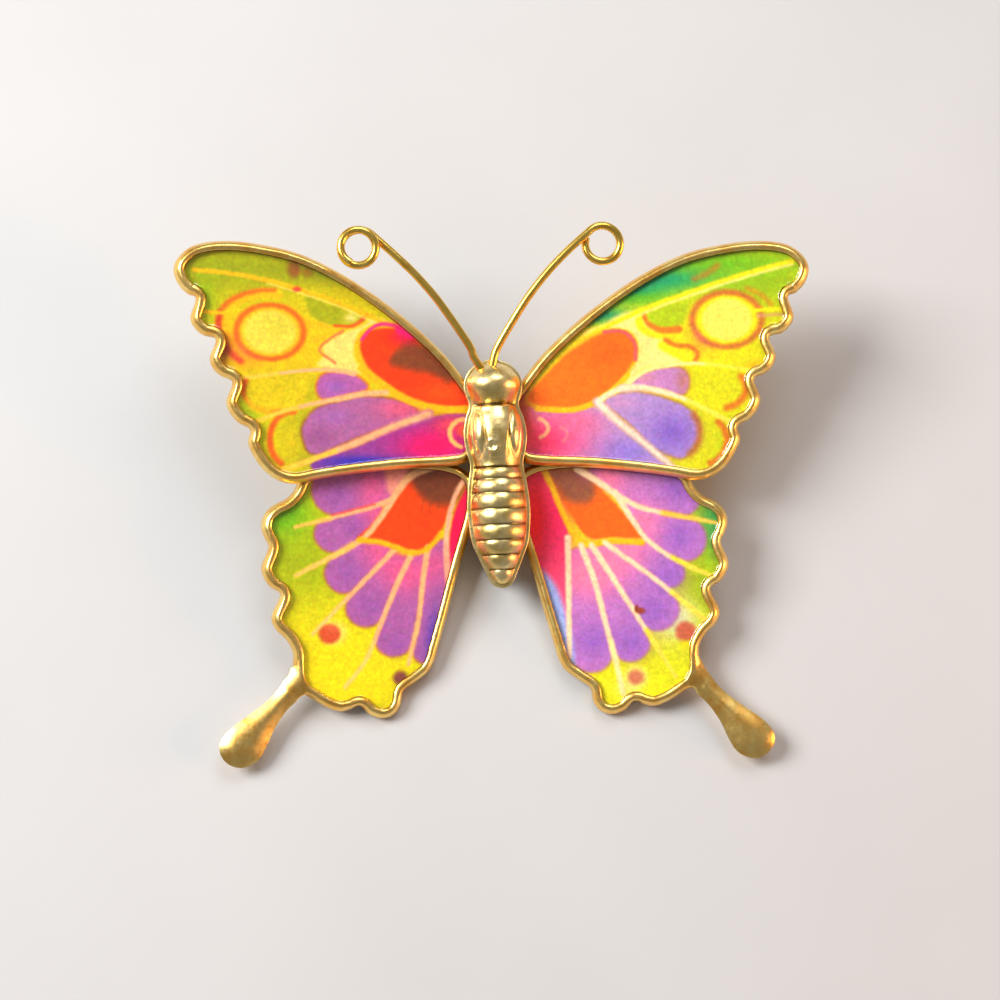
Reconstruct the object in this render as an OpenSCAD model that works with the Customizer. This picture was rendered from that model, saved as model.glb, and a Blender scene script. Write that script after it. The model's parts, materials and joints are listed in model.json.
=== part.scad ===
// Butterfly brooch: four enamelled wing trays, a cast body, two coiled wire antennae,
// and a bar pin with a hinged stem and a turning safety catch on the back.
//
// The brooch is drawn in its own plane: x across the wings, y towards the head, z out of the
// front. The middle of the pin stem's axis is the origin. tipped() then leans the whole brooch
// about that axis, so that it stands on a table on its hinge, its catch and its lower wing edges.

/* [Wings] */
// Angle at which each wing rises from the body
wing_rise = 7; // [5:0.5:8]
// Height of a wing tray, floor to rim
tray_h = 1.2; // [1:0.05:1.3]
// Thickness of a tray's floor
floor_t = 0.35; // [0.25:0.05:0.45]
// Width of a tray's rim, seen from the front
rim_w = 0.95; // [0.8:0.05:1]
// Slope of the outer wall: how far the top of the rim lies inside the foot
wall_draft = 0.3; // [0.2:0.05:0.4]
// Thickness of the printed sheet in each tray
print_t = 0.1; // [0.05:0.05:0.15]
// Depth of the clear resin over the printed sheet
resin_t = 0.5; // [0.4:0.05:0.6]

/* [Body] */
// Width of the flange that shows round the dome
flange_w = 0.3; // [0.2:0.02:0.5]
// Thickness of the flange
flange_t = 0.4; // [0.3:0.05:0.5]
// Wall of the hollow dome
dome_wall = 0.5; // [0.4:0.05:0.6]
// Depth of the grooves between the rings of the abdomen
ring_depth = 0.16; // [0.08:0.02:0.2]
// Turn of the body on the wings
body_turn = 2; // [0:0.5:3]

/* [Antennae] */
// Diameter of the wire
wire_d = 0.75; // [0.6:0.05:0.8]
// Radius of the finished coil, to the middle of the wire
coil_r = 1.62; // [1.5:0.02:1.7]

/* [Pin] */
// Diameter of the stem
stem_d = 0.8; // [0.7:0.05:0.85]
// Distance from the middle of the brooch to the hinge
hinge_x = 10.5; // [9.5:0.25:11]
// Distance from the middle of the brooch to the middle of the catch
catch_x = 10.2; // [9.5:0.1:10.5]
// Outer radius of the catch housing
catch_r = 1.45; // [1.4:0.05:1.6]
// Length of the catch housing
catch_len = 2; // [1.8:0.1:2.2]
// Diameter of the hinge rivet
rivet_d = 0.6; // [0.5:0.05:0.65]
// Length of the bar
bar_len = 25.6; // [25:0.2:27]
// Width of the bar
bar_w = 3; // [2.6:0.1:3.4]
// Thickness of the bar and of the back plate
plate_t = 0.5; // [0.4:0.05:0.5]

/* [Hidden] */

$fn = 48;
LEFT = -1;
RIGHT = 1;

GOLD = "gold";
PALE_GOLD = "khaki";
STEEL = "silver";

// Smallest gap left between neighbouring pieces that only touch
gap = 0.03;
// Running clearance of a turning piece, on the radius
running = 0.05;

// Levels above the stem's axis
bar_z = catch_r;
plate_z = bar_z + plate_t;
plate_top = plate_z + plate_t;
// The wings rise from a line this far from the middle
root_x = 1.5;
// The forewings lie on the rims of the hindwings
fore_lift = tray_h;
// The flange clears the forewings' rims where they run under the body
flange_z = plate_top + 2 * tray_h + 0.25;
dome_z = flange_z + flange_t;

// The slot that lets the stem in and out of the catch
slot_w = stem_d + 4 * running;
// The catch rests on the two edges of its slot, and the hinge stands as high
stand_r = sqrt(catch_r * catch_r - slot_w * slot_w / 4);
// The lowest lobe of a hindwing is the other thing that touches the table
foot_x = 10.9;
foot_y = 26;
foot_z = plate_top + (foot_x - root_x) * tan(wing_rise);
lean = atan(foot_z / foot_y) + asin(stand_r / norm([foot_y, foot_z]));

// Steps between two knots of an outline
STEPS = 4;

// Outline of the right forewing, counter-clockwise: lower edge, four scallops, tip, upper edge
FOREWING = [
    [1.65, 0.2], [2.1, -1.2], [3.1, -2.15], [5, -2.45], [9, -2.65], [13.4, -3.1], [16.8, -3.6],
    [19, -4], [20.5, -3.75], [21.8, -2.9], [22.8, -1.6], [23.4, -0.2],
    [23.2, 1], [24.3, 1.7], [25.05, 2.6], [25.35, 3.7],
    [24.8, 5.4], [25.75, 5.95], [26.5, 6.6], [26.85, 7.7],
    [26.3, 9.35], [27.4, 9.75], [28.2, 10.4], [28.6, 11.4],
    [28.1, 13.15], [28.8, 13.55], [29.5, 14.2], [29.95, 15], [30.1, 15.9],
    [29.7, 16.9], [28.4, 18], [26.2, 18.5], [23, 18.4], [18.3, 17.4], [13.6, 15.1], [8.9, 11.8],
    [5.1, 8.4], [2.75, 5.5], [1.75, 4], [1.6, 2]
];

// Outline of the right hindwing without its tail, counter-clockwise from the waist
HINDWING = [
    [2.9, -2.6], [2, -3.6], [1.8, -5.2], [2, -7.2], [2.65, -9.4], [3.5, -12.2], [4.45, -15.6],
    [5.5, -19.2], [5.95, -20.7], [6.6, -21.8], [7.8, -22.7], [8.9, -23.5],
    [9.2, -24.8], [9.9, -25.7], [11, -26], [12.2, -25.6],
    [13.1, -24.8], [14, -25.1], [15, -25.25], [16.3, -24.8],
    [17.6, -24], [18.6, -23.3], [19.15, -22.2], [19.3, -21],
    [19.3, -19.7], [19.9, -18.5], [20.95, -17.4], [21.25, -16.2],
    [20.45, -14.3], [21.3, -13.6], [21.95, -12.7], [22.15, -11.6],
    [21.5, -9.9], [21.85, -9], [22.15, -8], [21.9, -6.9], [21.1, -6], [19.9, -5.4], [19.1, -4.6],
    [18.3, -3.2], [16.4, -2.2], [12.5, -1.75], [8, -1.65], [4.8, -1.9]
];

// Outline of the right tail, counter-clockwise from the neck, with its round bulb
TAIL = [
    [18, -23.3], [18.9, -24.1], [20, -25.1], [21.1, -26.7], [21.9, -28.4], [22.7, -29.6],
    [24, -30.2], [25.3, -29.9], [26.1, -28.9], [26.05, -27.7], [25, -26.5], [23.2, -25.2],
    [21.4, -23.8], [20.2, -22.3], [19.35, -20.6], [18.9, -21.8]
];
// How far the tail stays below the top of the rim
tail_drop = 0.15;

// Half width of the body's flange along its length: [y, half width]
BODY = [
    [-13.95, 0], [-13.6, 0.9], [-12.2, 1.6], [-10.8, 2.2], [-9.4, 2.7], [-6.6, 2.96], [-4.2, 2.78],
    [-2.35, 2.5], [-1, 2.8], [0.5, 2.98], [2, 2.75], [3.3, 2.35], [4.8, 2.75], [6, 2.55],
    [7.1, 1.6], [7.65, 0]
];
body_top = 7.65;
body_foot = -13.95;
// Where the rings of the abdomen meet
RINGS = [-2.6, -3.7, -5, -6.5, -8, -9.4, -10.8, -12.2];
// Half width of a groove
ring_w = 0.22;

// Half width of the keel that carries the body on the back plate
keel_w = 1.3;
// The body's skirt stands this far inside its flange
skirt_inset = 0.35;

// The straight root of each antenna: a point inside the head, then one outside it
ROOT_LEFT = [[-0.85, 6.2, 6.45], [-1.75, 7.7, 6.7]];
ROOT_RIGHT = [[-0.2, 6.1, 6.5], [0.14, 7.7, 6.7]];
// Points that the wire passes through on the way to its coil
SHAFT_LEFT = [[-2.2, 8.9, 6.85], [-4.7, 12.8, 7.2], [-6.5, 15.1, 7.4], [-8.3, 17, 7.6]];
SHAFT_RIGHT = [
    [0.7, 8.9, 6.85], [2.2, 11.2, 7.1], [3.7, 13.3, 7.3], [5.6, 15.5, 7.5], [7.6, 17.4, 7.7]
];
// Each coil: centre, radius where the wire joins it, angle there, turn, and rise for a whole turn
COIL_LEFT = [[-12.1, 18.1, 7.7], 1.85, 45, 560, 0.85];
COIL_RIGHT = [[10.8, 17.8, 7.8], 1.75, 139, -345, -0.9];
// Degrees between the rings of the wire along a coil, and sides of the wire
COIL_STEP = 20;
WIRE_SIDES = 10;

// Hinge: ears of the bracket, eye of the stem, heads of the rivet
ear_t = 0.4;
eye_r = 0.85;
eye_w = stem_d;
ear_gap = 0.15;
ear_in = eye_w / 2 + ear_gap;
ear_out = ear_in + ear_t;
bracket_w = 2.2;
rivet_head_r = 0.5;
rivet_head_t = 0.2;
rivet_fit = 0.01;

// Stem: flattened shank by the eye, straight wire up to the catch, then a long sharp taper
shank_len = 1.7;
shank_h = 1;
tip_x = 12.7;
taper_x = catch_x - catch_len / 2 - 0.6;
point_r = 0.05;

// Catch rotor: sleeve, end flanges and lever
housing_wall = 0.35;
rotor_r = catch_r - housing_wall - running;
rotor_bore = stem_d / 2 + 2 * running;
collar_r = catch_r - 0.2;
collar_t = 0.35;
collar_gap = 0.1;
lever_w = 0.9;
lever_reach = 2.5;

// ---- curves -------------------------------------------------------------------------------

// Point at t, from 0 to 1, on the smooth curve from b to c that comes from a and goes to d
function blend(a, b, c, d, t) =
    (2 * b + (c - a) * t + (2 * a - 5 * b + 4 * c - d) * t * t + (3 * b - a - 3 * c + d) * t * t * t) / 2;

// Closed smooth curve through the knots
function smooth_loop(knots, steps) =
    let (n = len(knots))
    [for (i = [0:n - 1], s = [0:steps - 1])
        blend(knots[(i + n - 1) % n], knots[i], knots[(i + 1) % n], knots[(i + 2) % n], s / steps)];

// Open smooth curve through the knots, ends included
function smooth_path(knots, steps) =
    let (n = len(knots) - 1)
    concat(
        [for (i = [0:n - 1], s = [0:steps - 1])
            blend(knots[max(i - 1, 0)], knots[i], knots[i + 1], knots[min(i + 2, n)], s / steps)],
        [knots[n]]);

// A counter-clockwise loop moved inwards by a distance
function inset(loop, distance) =
    let (n = len(loop))
    [for (i = [0:n - 1])
        let (along = loop[(i + 1) % n] - loop[(i + n - 1) % n])
        loop[i] + distance * [-along[1], along[0]] / norm(along)];

function unit(v) = v / norm(v);

// ---- placing ------------------------------------------------------------------------------

// Leans the brooch as it lies on a table
module tipped() {
    rotate([lean, 0, 0]) children();
}

module on_side(side) {
    if (side == LEFT) mirror([1, 0, 0]) children();
    else children();
}

// The plane of a wing: x still counts from the middle of the brooch, z from the tray's underside
module wing_plane(side, lift) {
    tipped() on_side(side)
        translate([root_x, 0, plate_top])
            rotate([0, -wing_rise, 0])
                translate([-root_x, 0, lift]) children();
}

// The body and the antennae turn together on the wings
module body_plane() {
    tipped() rotate([0, 0, body_turn]) children();
}

// Turns a shape drawn along z so that it lies along y
module along_y() {
    rotate([-90, 0, 0]) children();
}

// ---- wings --------------------------------------------------------------------------------

module slab(loop, z_low, z_high) {
    translate([0, 0, z_low]) linear_extrude(z_high - z_low) polygon(loop);
}

// A pressed tray: sloping wall in three steps, flat floor, pocket inside the folded rim
module tray(loop) {
    wall_steps = 3;
    difference() {
        union() {
            for (i = [0:wall_steps - 1])
                slab(inset(loop, wall_draft * i / (wall_steps - 1)), 0, tray_h * (i + 1) / wall_steps);
            children();
        }
        slab(inset(loop, rim_w), floor_t, 2 * tray_h);
    }
}

// The printed sheet on the floor of a tray
module printed_sheet(loop) {
    slab(inset(loop, rim_w + gap), floor_t, floor_t + print_t);
}

// Clear resin over the sheet
module resin(loop) {
    slab(inset(loop, rim_w + gap), floor_t + print_t, floor_t + print_t + resin_t);
}

module forewing_tray(side) {
    color(GOLD) wing_plane(side, fore_lift) tray(smooth_loop(FOREWING, STEPS));
}

module forewing_print(side) {
    color("orange") wing_plane(side, fore_lift) printed_sheet(smooth_loop(FOREWING, STEPS));
}

module forewing_resin(side) {
    color("yellow", 0.4) wing_plane(side, fore_lift) resin(smooth_loop(FOREWING, STEPS));
}

module hindwing_tray(side) {
    color(GOLD) wing_plane(side, 0) tray(smooth_loop(HINDWING, STEPS))
        slab(smooth_loop(TAIL, STEPS), tail_drop, tray_h - tail_drop);
}

module hindwing_print(side) {
    color("orchid") wing_plane(side, 0) printed_sheet(smooth_loop(HINDWING, STEPS));
}

module hindwing_resin(side) {
    color("violet", 0.4) wing_plane(side, 0) resin(smooth_loop(HINDWING, STEPS));
}

// ---- body ---------------------------------------------------------------------------------

body_edge = smooth_path(BODY, STEPS);

// The flange's outline from its half widths, brought in by a distance
function body_loop(distance) =
    let (half = [for (p = body_edge) [p[1], p[0]]], n = len(half))
    inset(concat(half, [for (i = [n - 2:-1:1]) [-half[i][0], half[i][1]]]), distance);

function groove(y) = ring_depth * max([for (r = RINGS) exp(-pow((y - r) / ring_w, 2))]);

// Radius of the dome at y
function dome_r(y) = max(0.05, lookup(y, body_edge) - flange_w - groove(y));

// Solid of revolution about the body's axis, the dome made smaller by a wall
module dome_solid(wall, step) {
    y_low = body_foot + flange_w + wall;
    y_high = body_top - flange_w - wall;
    count = ceil((y_high - y_low) / step);
    points = [for (i = [1:count - 1])
        let (y = y_low + (y_high - y_low) * i / count)
        [max(0.05, dome_r(y) - wall), y]];
    translate([0, 0, dome_z]) along_y()
        rotate_extrude() polygon(concat([[0, y_low]], points, [[0, y_high]]));
}

module body_shell() {
    reach = 20;
    bore_fit = 0.02;
    color(PALE_GOLD) body_plane() difference() {
        intersection() {
            dome_solid(0, 0.2);
            translate([-reach / 2, -reach, dome_z]) cube([reach, 2 * reach, reach]);
        }
        dome_solid(dome_wall, 0.6);
        for (root = [ROOT_LEFT, ROOT_RIGHT]) rod(root[0], root[1], wire_d / 2 + bore_fit);
    }
}

// Closing plate under the dome, with a skirt at the abdomen and a keel down to the back plate
module body_base() {
    skirt_top = -3.2;
    skirt_z = plate_top + tray_h + 0.4;
    chin_y = 5.9;
    chin_w = 1.9;
    keel_foot = -12.6;
    reach = 20;
    color(PALE_GOLD) body_plane() union() {
        slab(body_loop(0), flange_z, dome_z);
        intersection() {
            slab(body_loop(skirt_inset), skirt_z, flange_z);
            translate([-reach / 2, skirt_top - reach, 0]) cube([reach, reach, reach]);
        }
        translate([-keel_w / 2, keel_foot, plate_top])
            cube([keel_w, chin_y - keel_foot, flange_z - plate_top]);
        translate([-chin_w, chin_y, plate_top]) cube([2 * chin_w, 0.8, flange_z - plate_top]);
    }
}

// Straight round rod between two points
module rod(from, to, radius) {
    way = to - from;
    translate(from)
        rotate([0, acos(way[2] / norm(way)), atan2(way[1], way[0])])
            cylinder(h = norm(way), r = radius);
}

// Points of a coil: a spiral that settles from its joining radius to coil_r and climbs
function coil_points(coil) =
    let (count = ceil(abs(coil[3]) / COIL_STEP), settle = 90)
    [for (i = [0:count])
        let (turned = coil[3] * i / count,
             angle = coil[2] + turned,
             r = coil_r + (coil[1] - coil_r) * max(0, 1 - abs(turned) / settle))
        coil[0] + [r * cos(angle), r * sin(angle), coil[4] * abs(turned) / 360]];

// Round wire along a path, as rings of points
module wire(path, radius) {
    n = len(path);
    m = WIRE_SIDES;
    rings = [for (i = [0:n - 1])
        let (way = unit(path[min(i + 1, n - 1)] - path[max(i - 1, 0)]),
             across = unit(cross(way, [0, 0, 1])),
             up = cross(across, way))
        for (k = [0:m - 1]) path[i] + radius * (cos(360 * k / m) * across + sin(360 * k / m) * up)];
    sides = [for (i = [0:n - 2], k = [0:m - 1])
        [i * m + k, i * m + (k + 1) % m, (i + 1) * m + (k + 1) % m, (i + 1) * m + k]];
    polyhedron(rings, concat(
        [[for (k = [m - 1:-1:0]) k]],
        sides,
        [[for (k = [0:m - 1]) (n - 1) * m + k]]));
}

module antenna(root, shaft, coil) {
    points = coil_points(coil);
    bend = smooth_path(concat([root[1]], shaft, [points[0]]), 3);
    color(GOLD) body_plane() union() {
        rod(root[0], root[1], wire_d / 2);
        wire(concat(bend, [for (i = [1:len(points) - 1]) points[i]]), wire_d / 2);
    }
}

// ---- back ---------------------------------------------------------------------------------

// Stamped plate: a strip under the body, two ears under the forewings, two bent hindwing tabs
module back_plate() {
    ear_x = 5.4;
    tab = [[1, -3], [6, -2.8], [7, -4], [6.2, -7], [3, -9], [1, -9]];
    color(GOLD) {
        tipped() union() {
            slab(inset(body_loop(0), 0.7), plate_z, plate_top);
            translate([-ear_x, -1.3, plate_z]) cube([2 * ear_x, 5.2, plate_t]);
        }
        for (side = [LEFT, RIGHT]) wing_plane(side, 0) slab(tab, -plate_t, 0);
    }
}

// Wedge that holds a forewing over the rim of the hindwing
module wing_seat(side) {
    seat_len = 3.6;
    seat_w = 4.4;
    reach = 16;
    color(GOLD) difference() {
        tipped() on_side(side) translate([root_x, -0.8, plate_top]) cube([seat_len, seat_w, 2 * tray_h]);
        wing_plane(side, fore_lift) translate([-reach / 2, -reach / 2, 0]) cube(reach);
    }
}

module pin_bar() {
    straight = bar_len - bar_w;
    color(STEEL) tipped() translate([0, 0, bar_z]) union() {
        translate([-straight / 2, -bar_w / 2, 0]) cube([straight, bar_w, plate_t]);
        for (x = [-straight / 2, straight / 2]) translate([x, 0, 0]) cylinder(h = plate_t, r = bar_w / 2);
    }
}

// U-shaped bracket with two round ears, bored for the rivet
module hinge_bracket() {
    color(STEEL) tipped() translate([hinge_x, 0, 0]) difference() {
        union() {
            translate([-bracket_w / 2, -ear_out, bar_z - ear_t]) cube([bracket_w, 2 * ear_out, ear_t]);
            for (y = [-ear_out, ear_in]) translate([0, y, 0]) {
                along_y() cylinder(h = ear_t, r = stand_r);
                translate([-bracket_w / 2, 0, 0]) cube([bracket_w, ear_t, bar_z]);
            }
        }
        translate([0, -2 * ear_out, 0]) along_y() cylinder(h = 4 * ear_out, r = rivet_d / 2 + rivet_fit);
    }
}

module hinge_rivet() {
    color("dimgray") tipped() translate([hinge_x, 0, 0]) union() {
        translate([0, -ear_out, 0]) along_y() cylinder(h = 2 * ear_out, r = rivet_d / 2);
        for (y = [-ear_out - rivet_head_t, ear_out])
            translate([0, y, 0]) along_y() cylinder(h = rivet_head_t, r = rivet_head_r);
    }
}

// Stem with a drilled eye at the hinge and a sharp point past the catch
module pin_stem() {
    shank_x = hinge_x - shank_len;
    color(STEEL) tipped() difference() {
        union() {
            translate([hinge_x, -eye_w / 2, 0]) along_y() cylinder(h = eye_w, r = eye_r);
            translate([shank_x, -eye_w / 2, -shank_h / 2]) cube([shank_len, eye_w, shank_h]);
            translate([shank_x, 0, 0]) rotate([0, -90, 0])
                cylinder(h = shank_x + taper_x, r = stem_d / 2);
            translate([-taper_x, 0, 0]) rotate([0, -90, 0])
                cylinder(h = tip_x - taper_x, r1 = stem_d / 2, r2 = point_r);
        }
        translate([hinge_x, -eye_w, 0]) along_y() cylinder(h = 2 * eye_w, r = rivet_d / 2 + running);
    }
}

// Opening for the stem, along x and towards the back
module stem_slot(length) {
    translate([-length / 2, -slot_w / 2, -2 * catch_r]) cube([length, slot_w, 2 * catch_r]);
}

// Fixed ring of the catch on its foot, open towards the back
module catch_housing() {
    color(STEEL) tipped() translate([-catch_x, 0, 0]) difference() {
        union() {
            rotate([0, 90, 0]) cylinder(h = catch_len, r = catch_r, center = true);
            translate([-catch_len / 2, -1.2, catch_r - 0.6]) cube([catch_len, 2.4, 0.6]);
        }
        rotate([0, 90, 0]) cylinder(h = 2 * catch_len, r = catch_r - housing_wall, center = true);
        stem_slot(2 * catch_len);
    }
}

// Turning sleeve that closes the catch: two collars keep it in the housing, a lever turns it
module catch_rotor() {
    collar_x = catch_len / 2 + collar_gap;
    color(GOLD) tipped() translate([-catch_x, 0, 0]) difference() {
        union() {
            rotate([0, 90, 0]) cylinder(h = 2 * (collar_x + collar_t), r = rotor_r, center = true);
            for (x = [-collar_x - collar_t, collar_x])
                translate([x, 0, 0]) rotate([0, 90, 0]) cylinder(h = collar_t, r = collar_r);
            translate([-collar_x - collar_t, 0, -lever_w / 2]) cube([collar_t, lever_reach, lever_w]);
        }
        rotate([0, 90, 0]) cylinder(h = 3 * catch_len, r = rotor_bore, center = true);
        stem_slot(3 * catch_len);
    }
}

// ---- nodes --------------------------------------------------------------------------------

body_shell();
body_base();
back_plate();
wing_seat(LEFT);  // wing_seat_left
wing_seat(RIGHT);  // wing_seat_right
forewing_tray(LEFT);  // forewing_tray_left
forewing_tray(RIGHT);  // forewing_tray_right
forewing_print(LEFT);  // forewing_print_left
forewing_print(RIGHT);  // forewing_print_right
forewing_resin(LEFT);  // forewing_resin_left
forewing_resin(RIGHT);  // forewing_resin_right
hindwing_tray(LEFT);  // hindwing_tray_left
hindwing_tray(RIGHT);  // hindwing_tray_right
hindwing_print(LEFT);  // hindwing_print_left
hindwing_print(RIGHT);  // hindwing_print_right
hindwing_resin(LEFT);  // hindwing_resin_left
hindwing_resin(RIGHT);  // hindwing_resin_right
antenna(ROOT_LEFT, SHAFT_LEFT, COIL_LEFT);  // antenna_left
antenna(ROOT_RIGHT, SHAFT_RIGHT, COIL_RIGHT);  // antenna_right
pin_bar();
hinge_bracket();
hinge_rivet();
pin_stem();
catch_housing();
catch_rotor();
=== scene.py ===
"""Butterfly brooch: its looks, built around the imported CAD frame.

Shapes are drawn in millimetres in the brooch's own planes, as the CAD draws them: x across the
wings, y towards the head, z out of the front. build() brings each finished mesh into the frame.
"""
import json
import math

import bmesh
import bpy
import numpy as np
from mathutils import Matrix, Vector, geometry, noise

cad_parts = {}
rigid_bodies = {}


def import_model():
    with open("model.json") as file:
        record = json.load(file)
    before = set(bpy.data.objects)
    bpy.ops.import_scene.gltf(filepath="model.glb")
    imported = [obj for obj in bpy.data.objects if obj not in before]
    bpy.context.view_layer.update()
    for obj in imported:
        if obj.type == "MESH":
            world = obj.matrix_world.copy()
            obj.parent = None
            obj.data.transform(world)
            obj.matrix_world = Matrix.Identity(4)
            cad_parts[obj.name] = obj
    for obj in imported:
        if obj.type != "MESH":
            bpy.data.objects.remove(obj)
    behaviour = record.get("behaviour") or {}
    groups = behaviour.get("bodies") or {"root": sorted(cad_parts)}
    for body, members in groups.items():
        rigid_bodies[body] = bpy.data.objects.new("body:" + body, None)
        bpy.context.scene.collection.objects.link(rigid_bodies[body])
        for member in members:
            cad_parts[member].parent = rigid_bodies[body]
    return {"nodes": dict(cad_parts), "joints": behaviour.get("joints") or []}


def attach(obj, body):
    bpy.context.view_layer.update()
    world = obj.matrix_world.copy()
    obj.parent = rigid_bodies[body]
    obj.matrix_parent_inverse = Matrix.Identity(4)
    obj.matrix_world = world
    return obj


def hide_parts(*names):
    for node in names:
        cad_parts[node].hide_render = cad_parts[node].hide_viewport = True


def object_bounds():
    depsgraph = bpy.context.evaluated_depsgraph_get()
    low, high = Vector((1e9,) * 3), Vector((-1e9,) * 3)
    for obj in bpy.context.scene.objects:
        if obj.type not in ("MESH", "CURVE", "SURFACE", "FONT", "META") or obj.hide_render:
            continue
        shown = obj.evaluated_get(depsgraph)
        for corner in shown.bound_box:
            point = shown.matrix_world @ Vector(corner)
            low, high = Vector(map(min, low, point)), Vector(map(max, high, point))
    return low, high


for leftover in list(bpy.data.objects):
    bpy.data.objects.remove(leftover)
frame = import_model()
cad_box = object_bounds()
nodes = frame["nodes"]

# ---- sizes, in millimetres ----

MM = 0.001
LEFT, RIGHT = -1, 1
SIDE_NAMES = {LEFT: "left", RIGHT: "right"}

WING_RISE = math.radians(7)
BODY_TURN = math.radians(2)
ROOT_X = 1.5
PLATE_TOP = 2.45
TRAY_H = 1.2
FLOOR = 0.35
RIM = 0.95
PRINT_TOP = 0.6
RESIN_FOOT = 0.62
RESIN_TOP = 0.95
TAIL_FOOT = 0.15

DOME_Z = 5.5
FLANGE = 0.3
RINGS = (-2.6, -3.7, -5, -6.5, -8, -9.4, -10.8, -12.2, -13.7)

WIRE_R = 0.375
COIL_R = 1.62


# ---- planes of the brooch ----

def hinge_lean():
    """Lean of the brooch about its pin, read from the hinge's axis."""
    joint = next(j for j in frame["joints"] if j["name"] == "stem_hinge")
    return math.atan2(-joint["axis"][2], -joint["axis"][1])


TIPPED = Matrix.Rotation(hinge_lean(), 4, "X")
BODY_PLANE = TIPPED @ Matrix.Rotation(BODY_TURN, 4, "Z")


def wing_plane(side, lift):
    """Plane of a wing: z counts from the underside of its tray."""
    return (TIPPED @ Matrix.Diagonal((side, 1, 1, 1))
            @ Matrix.Translation((ROOT_X, 0, PLATE_TOP))
            @ Matrix.Rotation(-WING_RISE, 4, "Y")
            @ Matrix.Translation((-ROOT_X, 0, lift)))


# ---- curves and distances ----

def refine(path, step, closed=True):
    """Smooth curve through a path's points, with a point about every step."""
    path = np.asarray(path, float)
    n = len(path)
    spans = n if closed else n - 1
    out = []
    for i in range(spans):
        if closed:
            a, b, c, d = (path[(i + k) % n] for k in (-1, 0, 1, 2))
        else:
            a, b, c, d = (path[min(max(i + k, 0), n - 1)] for k in (-1, 0, 1, 2))
        count = max(1, round(float(np.linalg.norm(c - b)) / step))
        for t in np.arange(count) / count:
            out.append((2 * b + (c - a) * t + (2 * a - 5 * b + 4 * c - d) * t * t
                        + (3 * b - a - 3 * c + d) * t ** 3) / 2)
    if not closed:
        out.append(path[-1])
    return np.array(out)


def inward(loop, averaging):
    """Unit normals into a counter-clockwise loop, averaged with their neighbours."""
    along = np.roll(loop, -1, 0) - np.roll(loop, 1, 0)
    normal = np.stack([-along[:, 1], along[:, 0]], 1)
    normal /= np.linalg.norm(normal, axis=1)[:, None]
    return averaged(normal, averaging)


def averaged(values, times):
    """Values along a loop, each mixed with its neighbours a number of times."""
    for _ in range(times):
        values = (np.roll(values, 1, 0) + 2 * values + np.roll(values, -1, 0)) / 4
    return values


def inset(loop, width):
    return loop + inward(loop, 0) * width


def distance(points, path, closed=False):
    """Distance from every point to a path."""
    starts = path if closed else path[:-1]
    ends = np.roll(path, -1, 0) if closed else path[1:]
    best = np.full(len(points), np.inf)
    for a, b in zip(starts, ends):
        way = b - a
        t = np.clip((points - a) @ way / max(way @ way, 1e-9), 0, 1)
        gap = points - a - t[:, None] * way
        best = np.minimum(best, np.einsum("ij,ij->i", gap, gap))
    return np.sqrt(best)


def inside(points, loop):
    """Which points a loop holds."""
    x, y = points.T
    odd = np.zeros(len(points), bool)
    for (ax, ay), (bx, by) in zip(loop, np.roll(loop, -1, 0)):
        if ay != by:
            odd ^= ((ay > y) != (by > y)) & (x < (bx - ax) * (y - ay) / (by - ay) + ax)
    return odd


def depth(points, loop):
    """Distance to a loop's line, negative outside it."""
    return distance(points, loop, True) * np.where(inside(points, loop), 1, -1)


def smoothstep(low, high, values):
    """0 up to low and 1 from high on, with a smooth rise between them."""
    t = np.clip((values - low) / (high - low), 0, 1)
    return t * t * (3 - 2 * t)


def wander(points, size, layer):
    """Smooth noise from -1 to 1 at every point, with features about this size."""
    return np.array([noise.noise(Vector((p[0] / size, p[1] / size, layer))) for p in points])


def rim_edges(faces):
    """Edges that only one of some faces has: each one's first corner leads to its second."""
    sides = {}
    for face in faces:
        for a, b in zip(face, face[1:] + face[:1]):
            if (b, a) in sides:
                del sides[(b, a)]
            else:
                sides[(a, b)] = True
    return dict(sides.keys())


def outline(node, plane, level):
    """Outline of a CAD node's flat face at a level of a plane, counter-clockwise."""
    mesh = nodes[node].data
    back = np.array(plane.inverted())
    points = np.array([v.co for v in mesh.vertices]) / MM @ back[:3, :3].T + back[:3, 3]
    slack = 0.01
    flat = np.abs(points[:, 2] - level) < slack
    ahead = rim_edges([[tuple(np.round(points[i, :2], 3)) for i in polygon.vertices]
                       for polygon in mesh.polygons if all(flat[i] for i in polygon.vertices)])
    loops = []
    while ahead:
        loop = [next(iter(ahead))]
        while loop[-1] in ahead:
            loop.append(ahead.pop(loop[-1]))
        loops.append(np.array(loop[:-1]))
    loop = max(loops, key=len)
    x, y = loop.T
    turns = np.sum(x * np.roll(y, -1) - y * np.roll(x, -1))
    return loop if turns > 0 else loop[::-1]


# ---- meshes ----

def loft(rings):
    """Skin over closed rings, from the first one's cap to the last one's."""
    n = len(rings[0])
    faces = [(r * n + i, r * n + (i + 1) % n, (r + 1) * n + (i + 1) % n, (r + 1) * n + i)
             for r in range(len(rings) - 1) for i in range(n)]
    last = (len(rings) - 1) * n
    faces.append(tuple(range(n - 1, -1, -1)))
    faces.append(tuple(range(last, last + n)))
    return np.concatenate(rings), faces


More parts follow.
